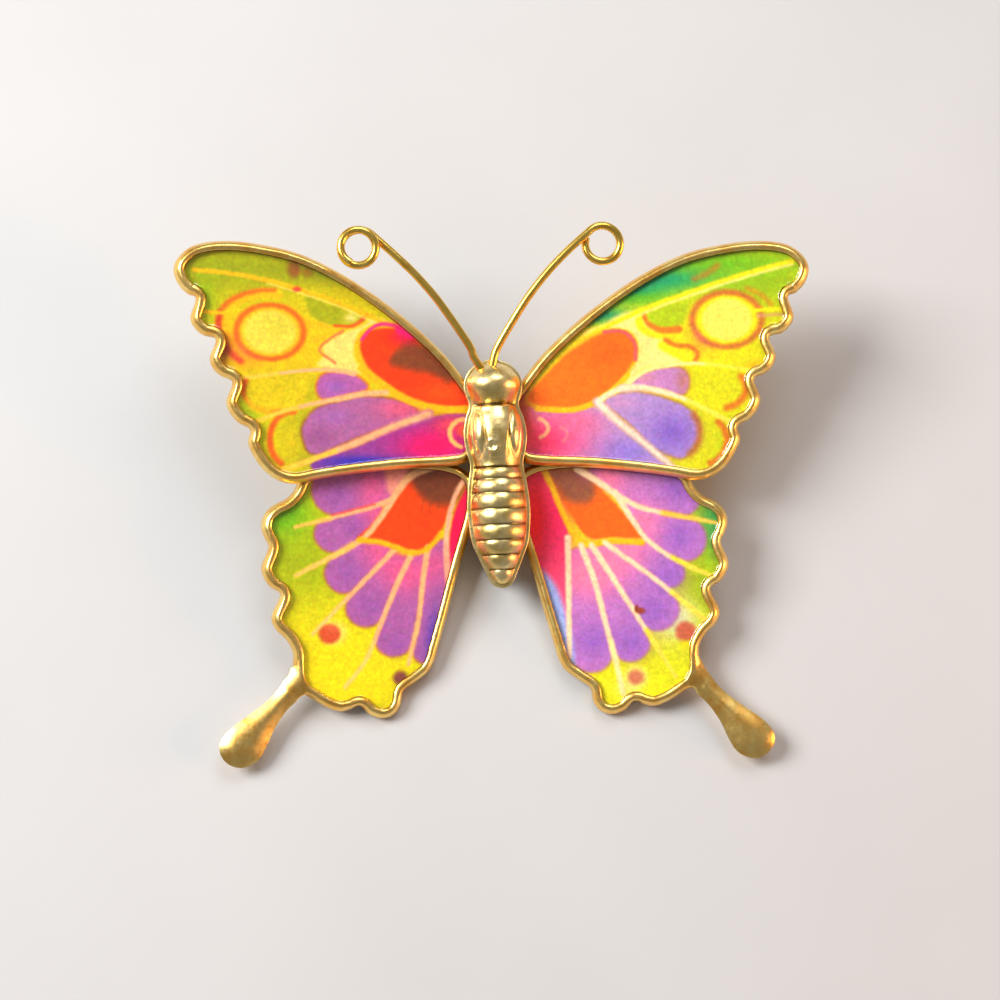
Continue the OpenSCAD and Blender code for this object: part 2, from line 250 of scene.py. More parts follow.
def sheet(loop, step, insets=()):
    """Triangles that fill a loop: rows of points a step apart, and rings at some insets."""
    coarse = loop[::4]
    row = step * math.sqrt(3) / 2
    low, high = loop.min(0), loop.max(0)
    grid = np.array([(x + step / 2 * (k % 2), y)
                     for k, y in enumerate(np.arange(low[1], high[1], row))
                     for x in np.arange(low[0], high[0], step)])
    deepest = max(insets, default=0)
    grid = grid[depth(grid, coarse) > deepest + 0.6 * step]
    rings = [inset(loop, d) for d in insets]
    rings = [ring[depth(ring, coarse) > 0.8 * d] for ring, d in zip(rings, insets)]
    points = np.concatenate([loop] + rings + [grid])
    n = len(loop)
    edges = [(i, (i + 1) % n) for i in range(n)]
    made = geometry.delaunay_2d_cdt([Vector(p) for p in points], edges, [], 1, 1e-5)
    return np.array([tuple(p) for p in made[0]]), [tuple(f) for f in made[2]]


def border(faces):
    """Corners of a sheet's edge, in order round it."""
    ahead = rim_edges(faces)
    loop = [next(iter(ahead))]
    while ahead[loop[-1]] != loop[0]:
        loop.append(ahead[loop[-1]])
    return loop


def slab(flat, faces, top, foot):
    """Closed sheet: its top follows heights, its foot is level and its sides are upright."""
    n = len(flat)
    edge = border(faces)
    points = np.concatenate([np.column_stack([flat, top]),
                             np.column_stack([flat[edge], np.full(len(edge), foot)])])
    m = len(edge)
    walls = [(n + i, n + (i + 1) % m, edge[(i + 1) % m], edge[i]) for i in range(m)]
    return points, faces + walls + [tuple(n + i for i in range(m - 1, -1, -1))]


def new_object(name, content):
    made = bpy.data.objects.new(name, content)
    bpy.context.scene.collection.objects.link(made)
    return made


def build(name, points, faces, plane, material, body="brooch", replaced=None, sharp=40):
    """Makes a piece from a mesh drawn in a plane, and puts it in the frame."""
    matrix = np.array(plane)
    placed = (np.asarray(points) @ matrix[:3, :3].T + matrix[:3, 3]) * MM
    if plane.determinant() < 0:
        faces = [tuple(reversed(f)) for f in faces]
    mesh = bpy.data.meshes.new(name)
    mesh.from_pydata([tuple(p) for p in placed], [], faces)
    mesh.validate()
    return finish_piece(name, mesh, material, body, replaced or name, sharp)


def finish_piece(name, mesh, material, body, replaced, sharp):
    """Shades a mesh smooth, gives it its material, hangs it on its rigid body and hides the CAD part
    that it stands for.
    """
    mesh.materials.clear()
    mesh.materials.append(material)
    mesh.polygons.foreach_set("use_smooth", [True] * len(mesh.polygons))
    mesh.set_sharp_from_angle(angle=math.radians(sharp))
    piece = new_object(name + ".look", mesh)
    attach(piece, body)
    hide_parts(replaced)
    return piece


def groove_shade(piece, amounts):
    """Marks how much painted shade darkens the metal at each of a piece's vertices."""
    layer = piece.data.attributes.new("groove_shade", "FLOAT", "POINT")
    layer.data.foreach_set("value", np.clip(amounts, 0, 1))


def evaluated(mesh, add_modifiers):
    """A mesh after the modifiers that a function adds to an object holding it."""
    holder = new_object("holder", mesh)
    add_modifiers(holder)
    bpy.context.view_layer.update()
    made = bpy.data.meshes.new_from_object(
        holder.evaluated_get(bpy.context.evaluated_depsgraph_get()))
    bpy.data.objects.remove(holder)
    return made


def softened(node, width, material, body="brooch"):
    """A CAD node with its edges rounded, as tumbling and plating leave them."""
    mesh = nodes[node].data.copy()
    work = bmesh.new()
    work.from_mesh(mesh)
    bmesh.ops.remove_doubles(work, verts=work.verts, dist=0.001 * MM)
    bmesh.ops.dissolve_limit(work, angle_limit=math.radians(1), verts=work.verts, edges=work.edges)
    work.to_mesh(mesh)
    work.free()

    def bevel(holder):
        modifier = holder.modifiers.new("bevel", "BEVEL")
        modifier.width = width * MM
        modifier.segments = 3
        modifier.limit_method = "ANGLE"
        modifier.angle_limit = math.radians(32)
        modifier.use_clamp_overlap = True

    return finish_piece(node, evaluated(mesh, bevel), material, body, node, 40)


# ---- materials ----

def linear(colour):
    """Display colour, 0 to 1, as the linear light that shaders count in."""
    c = np.asarray(colour, float)
    return np.where(c <= 0.04045, c / 12.92, ((c + 0.055) / 1.055) ** 2.4)


def paint_colour(colour):
    return (*linear(colour), 1)


def add(tree, kind, inputs=None, **settings):
    """Adds a shader node. Its inputs are given as values or as other nodes' sockets."""
    made = tree.nodes.new("ShaderNode" + kind)
    for key, value in settings.items():
        setattr(made, key, value)
    for key, value in (inputs or {}).items():
        if isinstance(value, bpy.types.NodeSocket):
            tree.links.new(value, made.inputs[key])
        else:
            made.inputs[key].default_value = value
    return made


def new_material(name):
    made = bpy.data.materials.new(name)
    made.use_nodes = True
    made.node_tree.nodes.clear()
    return made, made.node_tree


def surface(tree, shader):
    """Joins a finished shader to its material's output."""
    output = add(tree, "OutputMaterial")
    tree.links.new(shader.outputs[0], output.inputs["Surface"])


def texture_place(tree):
    return add(tree, "TexCoord").outputs["Object"]


def speckle(tree, place, size, detail=3.0, roughness=0.55):
    """Noise with features about this many millimetres across."""
    return add(tree, "TexNoise", {"Vector": place, "Scale": 1 / (size * MM), "Detail": detail,
                                  "Roughness": roughness}).outputs["Fac"]


def remap(tree, value, low, high, to_low, to_high):
    return add(tree, "MapRange", {"Value": value, "From Min": low, "From Max": high,
                                  "To Min": to_low, "To Max": to_high}).outputs["Result"]


def mixed(tree, factor, a, b, blend="MIX"):
    return add(tree, "Mix", {0: factor, 6: a, 7: b}, data_type="RGBA",
               blend_type=blend).outputs[2]


def bumped(tree, height, depth_mm, strength=1.0, normal=None):
    inputs = {"Height": height, "Distance": depth_mm * MM, "Strength": strength}
    if normal is not None:
        inputs["Normal"] = normal
    return add(tree, "Bump", inputs).outputs["Normal"]


def plated_metal(name, bright, worn, shade_tarnish_colour, shine, grain, wear=1.0):
    """Plated metal: its tone wanders, hollows are darkened toward a tarnish colour as painted shade and
    tarnish, and the polish is scuffed.
    shine is the roughness where polished, grain the depth of its pits in millimetres, and
    wear how scuffed and wavy it is."""
    made, tree = new_material(name)
    place = texture_place(tree)
    tone = remap(tree, speckle(tree, place, 1.6, 5), 0.36, 0.66, 0, 1)
    colour = mixed(tree, tone, paint_colour(bright), paint_colour(worn))
    # Painted shade and tarnish: hollows that ambient occlusion finds, and grooves marked on the
    # vertices, are darkened toward the hollows' colour.
    hollow = add(tree, "AmbientOcclusion", {"Distance": 0.7 * MM}, samples=12).outputs["AO"]
    shade_and_tarnish = remap(tree, hollow, 0.2, 0.85, 0.85, 0)
    groove_shade = add(tree, "Attribute", attribute_name="groove_shade").outputs["Fac"]
    shade_and_tarnish = add(tree, "Math", {0: shade_and_tarnish, 1: groove_shade}, operation="MAXIMUM").outputs[0]
    colour = mixed(tree, shade_and_tarnish, colour, paint_colour(shade_tarnish_colour))
    scuffs = speckle(tree, place, 0.35, 6, 0.7)
    rough = remap(tree, scuffs, 0.35, 0.7, shine, shine + 0.16 * wear)
    pits = speckle(tree, place, 0.12, 3)
    waves = speckle(tree, place, 1.1, 2)
    normal = bumped(tree, waves, 0.05 * wear, 0.5, bumped(tree, pits, grain, 0.4))
    shader = add(tree, "BsdfPrincipled", {"Base Color": colour, "Metallic": 1.0,
                                          "Roughness": rough, "Normal": normal})
    surface(tree, shader)
    return made


def printed_paper(name):
    """Ink on the sheet: the painted colours, with a fine mottle and paper grain."""
    made, tree = new_material(name)
    place = texture_place(tree)
    ink = add(tree, "Attribute", attribute_name="ink").outputs["Color"]
    mottle = remap(tree, speckle(tree, place, 0.3, 4, 0.7), 0.3, 0.7, 0.88, 1.08)
    fleck = add(tree, "CombineColor", {"Red": mottle, "Green": mottle, "Blue": mottle})
    colour = mixed(tree, 0.8, ink, fleck.outputs["Color"], "MULTIPLY")
    grain = speckle(tree, place, 0.08, 2)
    shader = add(tree, "BsdfPrincipled", {"Base Color": colour, "Roughness": 0.55,
                                          "Specular IOR Level": 0.25,
                                          "Normal": bumped(tree, grain, 0.006, 0.4)})
    surface(tree, shader)
    return made


def clear_resin():
    """Poured resin: see-through, glossy on its outside, with a faintly rippled skin."""
    made, tree = new_material("clear_resin_look")
    place = texture_place(tree)
    ripple = speckle(tree, place, 1.3, 2)
    orange_peel = speckle(tree, place, 0.22, 2)
    normal = bumped(tree, ripple, 0.06, 0.6, bumped(tree, orange_peel, 0.008, 0.5))
    fresnel = add(tree, "Fresnel", {"IOR": 1.52, "Normal": normal}).outputs[0]
    behind = add(tree, "NewGeometry").outputs["Backfacing"]
    front = add(tree, "Math", {0: 1.0, 1: behind}, operation="SUBTRACT").outputs[0]
    gloss = add(tree, "Math", {0: fresnel, 1: front}, operation="MULTIPLY").outputs[0]
    haze = remap(tree, speckle(tree, place, 0.5, 5, 0.7), 0.35, 0.7, 0.07, 0.2)
    clear = add(tree, "BsdfTransparent", {"Color": (1.0, 0.985, 0.95, 1)})
    shiny = add(tree, "BsdfGlossy", {"Color": (1, 1, 1, 1), "Roughness": haze, "Normal": normal})
    shader = add(tree, "MixShader", {0: gloss, 1: clear.outputs[0], 2: shiny.outputs[0]})
    surface(tree, shader)
    return made


# Each metal's third colour is what its hollows darken to: painted shade and tarnish.
TRAY_GOLD = plated_metal("tray_gold_look", (1.0, 0.87, 0.53), (0.96, 0.73, 0.35),
                         (0.38, 0.2, 0.05), 0.27, 0.005, 0.7)
BODY_GOLD = plated_metal("body_gold_look", (1.0, 0.91, 0.66), (0.88, 0.77, 0.46),
                         (0.24, 0.14, 0.05), 0.26, 0.007)
WIRE_GOLD = plated_metal("wire_gold_look", (1.0, 0.85, 0.42), (0.94, 0.74, 0.3),
                         (0.72, 0.5, 0.15), 0.22, 0.001, 0.3)
FINDING_GOLD = plated_metal("finding_gold_look", (0.88, 0.74, 0.46), (0.7, 0.55, 0.3),
                            (0.3, 0.2, 0.1), 0.24, 0.005)
STEEL = plated_metal("steel_look", (0.78, 0.78, 0.76), (0.6, 0.59, 0.56),
                     (0.25, 0.22, 0.18), 0.2, 0.003)
PRINT = printed_paper("print_look")
RESIN = clear_resin()


# ---- the printed wings ----

def along(path, shares):
    """Points at some shares of a path's length."""
    path = np.asarray(path, float)
    spans = np.concatenate([[0], np.cumsum(np.linalg.norm(np.diff(path, axis=0), axis=1))])
    return np.stack([np.interp(np.asarray(shares) * spans[-1], spans, path[:, k])
                     for k in (0, 1)], 1)


def arc(centre, radii, start, end):
    """Points of an ellipse's arc from one angle to another, in degrees."""
    turn = np.radians(np.linspace(start, end, 9))
    return np.stack([centre[0] + radii[0] * np.cos(turn), centre[1] + radii[1] * np.sin(turn)], 1)


def cell_between(vein, other, start, end, gap):
    """Cell between two veins, from one share of their lengths to another, with a round end.
    start and end give a share for each vein, and gap is what stays free beside them."""
    bulge = 0.9
    rows = np.linspace(0, 1, 12)
    a = along(vein, start[0] + (end[0] - start[0]) * rows)
    b = along(other, start[1] + (end[1] - start[1]) * rows)
    across = b - a
    across /= np.maximum(np.linalg.norm(across, axis=1), 1e-6)[:, None]
    a = a + across * gap
    b = b - across * gap
    middle = (a[-1] + b[-1]) / 2
    half = (b[-1] - a[-1]) / 2
    out = np.array([-half[1], half[0]]) * bulge
    if out @ (a[-1] - a[-3] + b[-1] - b[-3]) < 0:
        out = -out
    turn = np.radians(np.arange(15, 180, 15))[:, None]
    cap = middle - half * np.cos(turn) + out * np.sin(turn)
    return np.concatenate([a, cap, b[::-1]])


class Artwork:
    """Ink at the points of a sheet. Each stroke is laid over the ones before it."""

    def __init__(self, points, base):
        blur = 0.05
        self.points = points + blur * np.stack([wander(points, 0.7, 3), wander(points, 0.7, 7)], 1)
        self.ink = np.tile(np.asarray(base, float), (len(points), 1))

    def lay(self, colour, cover):
        self.ink += (np.asarray(colour, float) - self.ink) * cover[:, None]

    def patch(self, colour, loop, soft=0.2, strength=1.0, grow=0.0):
        gap = depth(self.points, refine(loop, 0.4)) + grow
        self.lay(colour, strength * smoothstep(-soft, soft, gap))

    def cell(self, colour, edge, loop):
        """A filled cell with a darker line round it."""
        self.patch(edge, loop, 0.22, 0.75, 0.18)
        self.patch(colour, loop, 0.2)

    def stroke(self, colour, path, width, soft=0.14, strength=1.0, end_width=None):
        path = refine(path, 0.4, False)
        gap = distance(self.points, path)
        reach = np.linalg.norm(self.points - path[0], axis=1)
        share = np.clip(reach / np.linalg.norm(path[-1] - path[0]), 0, 1)
        end_width = width if end_width is None else end_width
        half = (width + end_width * share - width * share) / 2
        self.lay(colour, strength * smoothstep(-soft, soft, half - gap))

    def vein(self, path, width, end_width, far_colour=(1.0, 0.86, 0.1), near=(1.0, 0.74, 0.55)):
        """A pale vein that turns yellow towards its end."""
        self.stroke(near, path, width, 0.16, end_width=end_width)
        tail = along(path, (0.65, 0.78, 0.9, 1))
        self.stroke(far_colour, tail, width * 0.7, 0.3, 0.75, end_width=end_width)

    def mottle(self):
        """Uneven ink, as a coarse print leaves it."""
        for size, depth_of, layer in ((0.9, 0.05, 12), (0.35, 0.07, 13), (0.18, 0.06, 14)):
            self.ink *= 1 + depth_of * wander(self.points, size, layer)[:, None]
        for channel in range(3):
            self.ink[:, channel] += 0.03 * wander(self.points, 0.5, 20 + channel)

    def spot(self, colour, centre, radii, soft=0.2, strength=1.0):
        x, y = ((self.points - centre) / radii).T
        self.lay(colour, strength * smoothstep(-soft, soft, (1 - np.hypot(x, y)) * min(radii)))

    def glow(self, colour, centre, radii, strength=1.0):
        """A soft cloud of colour."""
        x, y = ((self.points - centre) / radii).T
        self.lay(colour, strength * np.exp(-(x ** 2 + y ** 2)))


# Inks, as display colours
LEAF = (0.52, 0.72, 0.02)
GREEN = (0.38, 0.72, 0.05)
YELLOW = (0.95, 0.9, 0.0)
GOLDEN = (1.0, 0.76, 0.02)
CREAM = (1.0, 0.88, 0.48)
PALE = (0.98, 0.93, 0.62)
PEACH = (1.0, 0.76, 0.46)
ORANGE = (1.0, 0.5, 0.0)
RUST = (0.87, 0.42, 0.1)
ROSE = (0.98, 0.36, 0.52)
HOT_PINK = (1.0, 0.02, 0.45)
MAGENTA = (0.86, 0.0, 0.45)
ORCHID = (0.72, 0.38, 0.72)
VIOLET = (0.52, 0.38, 0.84)
BROWN = (0.58, 0.3, 0.16)


# Each draws a wing's ink with the brushes of its Artwork: places are (x, y) in millimetres, as
# on a right wing, and sizes are widths, radii, softness of the edge and strength.

def forewing_left_art(glow, patch, stroke, spot, cell, vein):
    eye = (21.3, 10.8)
    olive = (0.6, 0.66, 0.02)
    disc = (21.3, 10.1)
    rust = (0.9, 0.38, 0.08)
    glow(olive, (25, 16), (9, 2.6))
    glow(LEAF, (27.5, 13), (1.5, 2.5), 0.7)
    glow((0.42, 0.5, 0.04), (16, 16), (4, 1.3), 0.7)
    glow(GOLDEN, (19, 8.5), (6, 2.2), 0.6)
    glow(olive, (19.5, 5), (2.6, 1.6), 0.6)
    glow(olive, (18.5, 0.5), (1.8, 3), 0.7)
    glow(LEAF, (23.5, 0), (1.4, 4), 0.9)
    # Leaf and cream field between the veins
    leaf = [(18, 13.5), (15, 12.5), (12.5, 11.5), (13.5, 10.75), (15.5, 10.75), (17.25, 11.5)]
    patch((0.66, 0.7, 0.02), leaf, 0.3)
    # Painted highlight: a pale glint on the leaf.
    glow(PALE, (13.75, 11.5), (0.7, 0.5), 0.8)
    stroke(GOLDEN, [(18, 11), (15, 10.25), (12.5, 10.5), (11.75, 11.25)], 0.7, 0.3)
    stroke(rust, [(15.25, 10.75), (13.5, 10.75), (12.25, 11.75)], 0.25, end_width=0.4)
    cream = [(11.5, 11.5), (9.75, 11), (11.5, 10.25), (13, 9.5), (13.5, 8), (12.75, 6.25), (15, 6.5),
        (17, 7), (16.25, 8), (16.5, 8.75), (14.75, 10), (12.75, 10.75)]
    patch(CREAM, cream, 0.3)
    stroke((0.93, 0.5, 0.3), [(14.5, 10.25), (15.75, 9.5), (16.75, 8.5), (16, 7.75), (15.25, 7.25)],
        0.25)
    # Costal vein and the marks beside it
    costal = [(28.25, 15.75), (25, 15.5), (21.5, 14.9), (18, 13.9), (15, 12.9), (12, 11.6), (9, 10.5)]
    stroke(GOLDEN, costal, 0.35, 0.2)
    stroke(PALE, [(x, y - 0.3) for x, y in costal[2:]], 0.15, 0.15, 0.7)
    spot(BROWN, (19, 16), (0.6, 0.8), 0.35, 0.8)
    spot(BROWN, (17.75, 15.75), (0.5, 0.5), 0.3, 0.5)
    spot((0.9, 0.2, 0.25), (18.75, 14.1), (0.4, 0.25), 0.15, 0.8)
    # Eye
    stroke(GOLDEN, arc(eye, (4.3, 2.9), 40, 100), 0.7, 0.3)
    stroke(rust, arc(eye, (4.9, 3.2), 95, 30), 0.3, 0.25, 0.85, end_width=0.55)
    stroke(GOLDEN, arc(eye, (4.1, 3.6), 10, -55), 0.7, 0.35)
    stroke((0.82, 0.27, 0.12), arc(eye, (4.75, 4.2), 15, -55), 0.6, 0.25)
    glow((0.5, 0.25, 0.1), (25.5, 8.25), (0.6, 1.2), 0.8)
    stroke(GOLDEN, [(27.25, 11.9), (25.5, 11.8), (24, 11.7)], 0.3)
    spot(rust, disc, (3.4, 2.75), 0.22, 0.9)
    glow((1, 0.42, 0.32), (23.5, 8.5), (1.8, 1.6), 0.5)
    spot(GOLDEN, disc, (2.85, 2.3), 0.22, 0.9)
    spot((0.92, 0.86, 0.3), disc, (2.5, 2.05), 0.3)
    glow(olive, (20.5, 10.75), (1.4, 1.1), 0.2)
    # Veins
    top = [(13.5, 6.25), (15.5, 6.6), (18.5, 6.5), (21.5, 6.1), (24.5, 5.75)]
    middle = [(10.5, 4.5), (12.5, 4.4), (14.5, 4), (17.5, 3.4), (20.5, 2.6), (23.25, 1.5)]
    low = [(6.5, 2.5), (10, 1.25), (13.5, -0.25), (17, -1.6), (20.25, -2.75)]
    # Cells
    stroke(rust, arc((21.3, 4.8), (2.5, 2), 25, -105), 0.5, 0.22)
    patch((0.88, 0.8, 0.03), cell_between(top, middle, (0.35, 0.6), (0.85, 0.85), 0.3), 0.3, 0.8)
    stroke(rust, arc((19.3, 0.1), (2.1, 2.6), 95, -60), 0.55, 0.22)
    glow((0.9, 0.8, 0.03), (19.25, 0), (1.2, 1.8), 0.6)
    upper = [(12.25, 4.9), (13.25, 6), (15, 6.4), (16.5, 6.1), (17, 5), (16.5, 3.9), (14.5, 4.25)]
    cell(ORCHID, RUST, upper)
    glow(VIOLET, (15.25, 5), (1.2, 0.8), 0.5)
    large = [(7.5, 2.5), (9.5, 3.75), (12.5, 4.1), (15, 3.6), (17, 3), (18.25, 1.5), (18.25, 0),
        (17.25, -1.25), (14, 0), (10.5, 1.4)]
    cell((0.68, 0.4, 0.68), BROWN, large)
    glow(ROSE, (9, 3), (2.4, 1), 0.7)
    glow((0.62, 0.4, 0.82), (15.5, 2.25), (1.6, 0.8), 0.5)
    glow((0.5, 0.25, 0.55), (16.75, 0.25), (1.4, 1), 0.35)
    strip = [(2.5, 2.25), (6.25, 2.25), (10, 0.9), (13.5, -0.6), (17.5, -2), (16.5, -3), (12, -2.5),
        (5, -2), (2.25, -1.25)]
    patch((0.58, 0.25, 0.66), strip)
    glow(HOT_PINK, (6, -0.5), (3.6, 1.8))
    glow((1, 0.25, 0.32), (4.25, 1.5), (2, 0.9), 0.8)
    glow((0.2, 0.18, 0.8), (13, -2), (3.8, 0.6))
    # Tear shape beside the body
    tear = [(12.9, 9), (12, 10.25), (10, 10.6), (8.25, 10), (6.5, 8.5), (4.5, 6.75), (3, 4.75),
        (2.5, 3.5), (3.75, 3.25), (6.25, 3.5), (8.5, 4.25), (10.5, 5.5), (12.25, 7)]
    patch(GOLDEN, tear, grow=0.5)
    patch((1, 0.24, 0), tear)
    glow((1, 0.38, 0.02), (5.5, 4.5), (2, 1), 0.6)
    shade = [(10.25, 7.25), (9.75, 8.25), (8.5, 9.25), (6.5, 8.75), (4, 6.25), (4.5, 5.5), (6.25, 6.25),
        (7.75, 6.5), (9, 6.75)]
    patch((0.48, 0.26, 0.14), shade, 0.6, 0.9)
    glow(MAGENTA, (8.75, 9.75), (1.3, 0.7), 0.7)
    stroke((1, 0.2, 0.55), [(8.25, 10.25), (10, 10.9), (11.5, 10.75), (12.75, 9.5)], 0.35)
    stroke((1, 0.1, 0.5), [(8, 9.9), (9.25, 10.4)], 0.7, 0.2)
    stroke(GOLDEN, [(12.9, 6.75), (11, 5.25), (9, 4), (7, 3.3), (4.75, 2.95), (2.5, 3)], 0.55)
    stroke((0.85, 0.52, 0.62), low[:4], 1, 0.25, end_width=0.4)
    vein(top, 0.45, 0.25)
    vein(middle, 0.55, 0.3)
    vein(low, 0.5, 0.4)
    stroke(PEACH, arc((3.2, 0.7), (1.3, 1.3), 110, -80), 0.45)
    spot((1, 0.35, 0.25), (3, 0.9), (0.7, 0.6), 0.3)


def forewing_right_art(glow, patch, stroke, spot, cell, vein):
    eye = (22.3, 11.1)
    rust = (0.87, 0.48, 0.08)
    glow(LEAF, (26, 14.5), (5, 2.6), 0.7)
    glow(GREEN, (22, 16.5), (7, 1.3), 0.8)
    glow((0.1, 0.64, 0.42), (16.5, 15), (5, 1.2))
    glow((0, 0.6, 0.5), (13, 13.9), (3.6, 1))
    glow((0.1, 0.6, 0.45), (10, 11.75), (3.4, 0.9))
    glow(GREEN, (14, 13.25), (3, 0.6), 0.7)
    glow(YELLOW, (20, 8), (4, 1.8), 0.7)
    glow((0.72, 0.8, 0), (20.5, 4.5), (1.8, 2), 0.7)
    glow(LEAF, (23.5, -1), (2, 2), 0.6)
    # Leaf and cream field between the veins
    cream = [(8.5, 9.5), (10.5, 10.75), (13, 12), (14.5, 11.25), (16.5, 9.5), (16.5, 8.25), (18.5, 7),
        (15.75, 6.75), (14, 6.25), (12.5, 5), (9, 4)]
    patch((1, 0.92, 0.56), cream, 0.35)
    leaf = [(14.75, 11.9), (16.25, 12.6), (18.5, 13), (18.5, 11.25), (17.5, 10.5), (15.75, 10.4)]
    stroke(YELLOW, [(14, 11.75), (14.25, 10.5), (15.75, 9.75), (17.75, 9.9)], 0.7, 0.25)
    patch((0.7, 0.8, 0), leaf, 0.3)
    stroke(rust, [(14.5, 12), (14.75, 11), (16, 10.25), (17.75, 10.25)], 0.35, 0.2, end_width=0.7)
    stroke(YELLOW, [(16.25, 8.75), (17.75, 8), (18.75, 7.25)], 0.9, 0.25)
    stroke(rust, [(16.5, 9.25), (17.5, 8.75), (18.75, 8.6), (19.5, 8), (19.25, 7.25)], 0.42, 0.2)
    costal = [(28.5, 16.5), (25.5, 15.75), (22, 14.75), (19, 13.75), (16, 12.75), (13, 11.5),
        (10, 10.1), (7.5, 8.75)]
    stroke(YELLOW, costal, 0.5, 0.2)
    stroke(PALE, [(x, y - 0.3) for x, y in costal], 0.25, 0.2, 0.85)
    stroke(RUST, [(21.5, 16.25), (20.5, 15.5), (19.25, 15)], 0.5, 0.35, 0.6)
    # Eye
    stroke(rust, arc(eye, (4.6, 3.2), 65, 25), 0.4, 0.3, 0.6)
    spot((0.8, 0.44, 0.16), eye, (3.55, 2.85), 0.25, 0.95)
    glow((0.85, 0.4, 0.4), (20, 9.75), (1.2, 1.6), 0.6)
    spot(YELLOW, eye, (2.95, 2.3), 0.25)
    spot((0.99, 0.91, 0.38), eye, (2.4, 2.05), 0.25)
    stroke(YELLOW, [(25, 11.9), (26.75, 12), (28.25, 11.9)], 0.35)
    stroke((0.85, 0.62, 0.55), [(25.25, 11.4), (27, 11.5), (28, 11.4)], 0.3, 0.25, 0.8)
    # Veins
    top = [(13, 5.25), (14.25, 6.2), (15.75, 6.7), (18.75, 7), (21.5, 6.75), (24.5, 6.25)]
    middle = [(10.25, 3.75), (12.25, 4.75), (14.5, 4.75), (17, 4.1), (19.5, 3), (22.75, 1.25)]
    low = [(10, 3.5), (11.5, 2), (13.25, 0.5), (15, -1), (17, -2.75)]
    patch((0.86, 0.86, 0), cell_between(top, middle, (0.4, 0.55), (0.9, 0.85), 0.25), 0.3)
    stroke(rust, arc((21.5, 4.6), (2.5, 1.9), 35, -75), 0.6, 0.3)
    glow(ORANGE, (25, 6.5), (0.8, 0.6), 0.5)
    stroke(rust, arc((20, -0.25), (2.1, 2.25), 50, -75), 0.6, 0.25)
    upper = [(13.25, 5.1), (14.5, 6.1), (16.25, 6.6), (18, 6.5), (18.6, 5.4), (18, 4.1), (15.75, 4.75)]
    cell((0.76, 0.52, 0.8), (0.72, 0.45, 0.3), upper)
    glow((0.72, 0.45, 0.4), (18.1, 5.4), (0.6, 1.1), 0.7)
    glow((0.9, 0.6, 0.7), (14.5, 5.6), (1, 0.6), 0.6)
    large = [(10.75, 3.5), (12.25, 4.25), (14.25, 4.3), (16.75, 3.6), (18.75, 2.5), (19.5, 1),
        (19, -0.75), (17.75, -1.9), (15.5, -0.9), (13, 1.4)]
    cell((0.68, 0.55, 0.86), (0.72, 0.44, 0.2), large)
    glow((0.5, 0.36, 0.84), (17, 0.5), (2.2, 1.9), 0.85)
    glow((0.85, 0.6, 0.8), (12.25, 3.5), (1.4, 0.7), 0.6)
    stroke((0.7, 0.4, 0.2), arc((17, 0.5), (2.6, 2.6), 40, -50), 0.6, 0.35, 0.8)
    strip = [(2.5, 3), (6, 2.6), (9.5, 3.1), (11, 2), (13, 0.25), (15, -1.5), (16.5, -2.75), (14, -3),
        (9, -2.3), (4, -2), (2, -1)]
    patch((0.72, 0.56, 0.84), strip)
    glow((0.56, 0.48, 0.9), (12.5, -1.25), (3, 1.4))
    glow((1, 0.22, 0.46), (4.75, 0), (4.2, 2.6))
    glow((0.95, 0.4, 0.6), (8, 1.75), (2.2, 1.2), 0.7)
    glow((1, 0.3, 0.25), (2.75, 1.25), (1.2, 2.5), 0.9)
    tear = [(13.7, 8.5), (13.25, 9.75), (12, 10.25), (10.5, 10), (9, 9.25), (7, 8), (5.25, 6.25),
        (3.5, 4.25), (4, 3.4), (6, 3.1), (8, 3.1), (10, 3.9), (12, 5.4), (13.25, 7)]
    patch(GOLDEN, tear, 0.2, 0.9, 0.25)
    patch((1, 0.45, 0), tear)
    glow((1, 0.33, 0), (11, 8.25), (2.4, 1.6), 0.5)
    stroke((1, 0.36, 0.36), [(10.75, 10.1), (12.5, 10.1), (13.6, 9), (13.6, 7.5)], 0.4)
    stroke(GOLDEN, [(4.25, 2.95), (7.25, 2.75), (9.5, 3.3), (11.25, 4.4), (12.9, 6)], 0.45)
    # Painted shadow: the body's shadow in dark red on the wing beside it.
    glow((0.62, 0.2, 0.05), (2.5, 4), (1, 3), 0.9)
    stroke((0.84, 0.68, 0.8), low, 0.95, 0.25, end_width=0.5)
    stroke((0.84, 0.68, 0.8), middle[1:4], 0.8, 0.25, end_width=0.4)
    vein(top, 0.4, 0.25, YELLOW, PALE)
    vein(middle, 0.55, 0.35, YELLOW, (1, 0.9, 0.76))
    stroke((1, 0.87, 0.8), low, 0.5, 0.16, end_width=0.3)
    stroke((1, 0.7, 0.55), arc((4.2, 1.1), (1.1, 0.9), 75, -70), 0.38)
    stroke((1, 0.55, 0.6), arc((6.3, 0.5), (0.8, 0.7), 75, -60), 0.25, 0.2, 0.7)


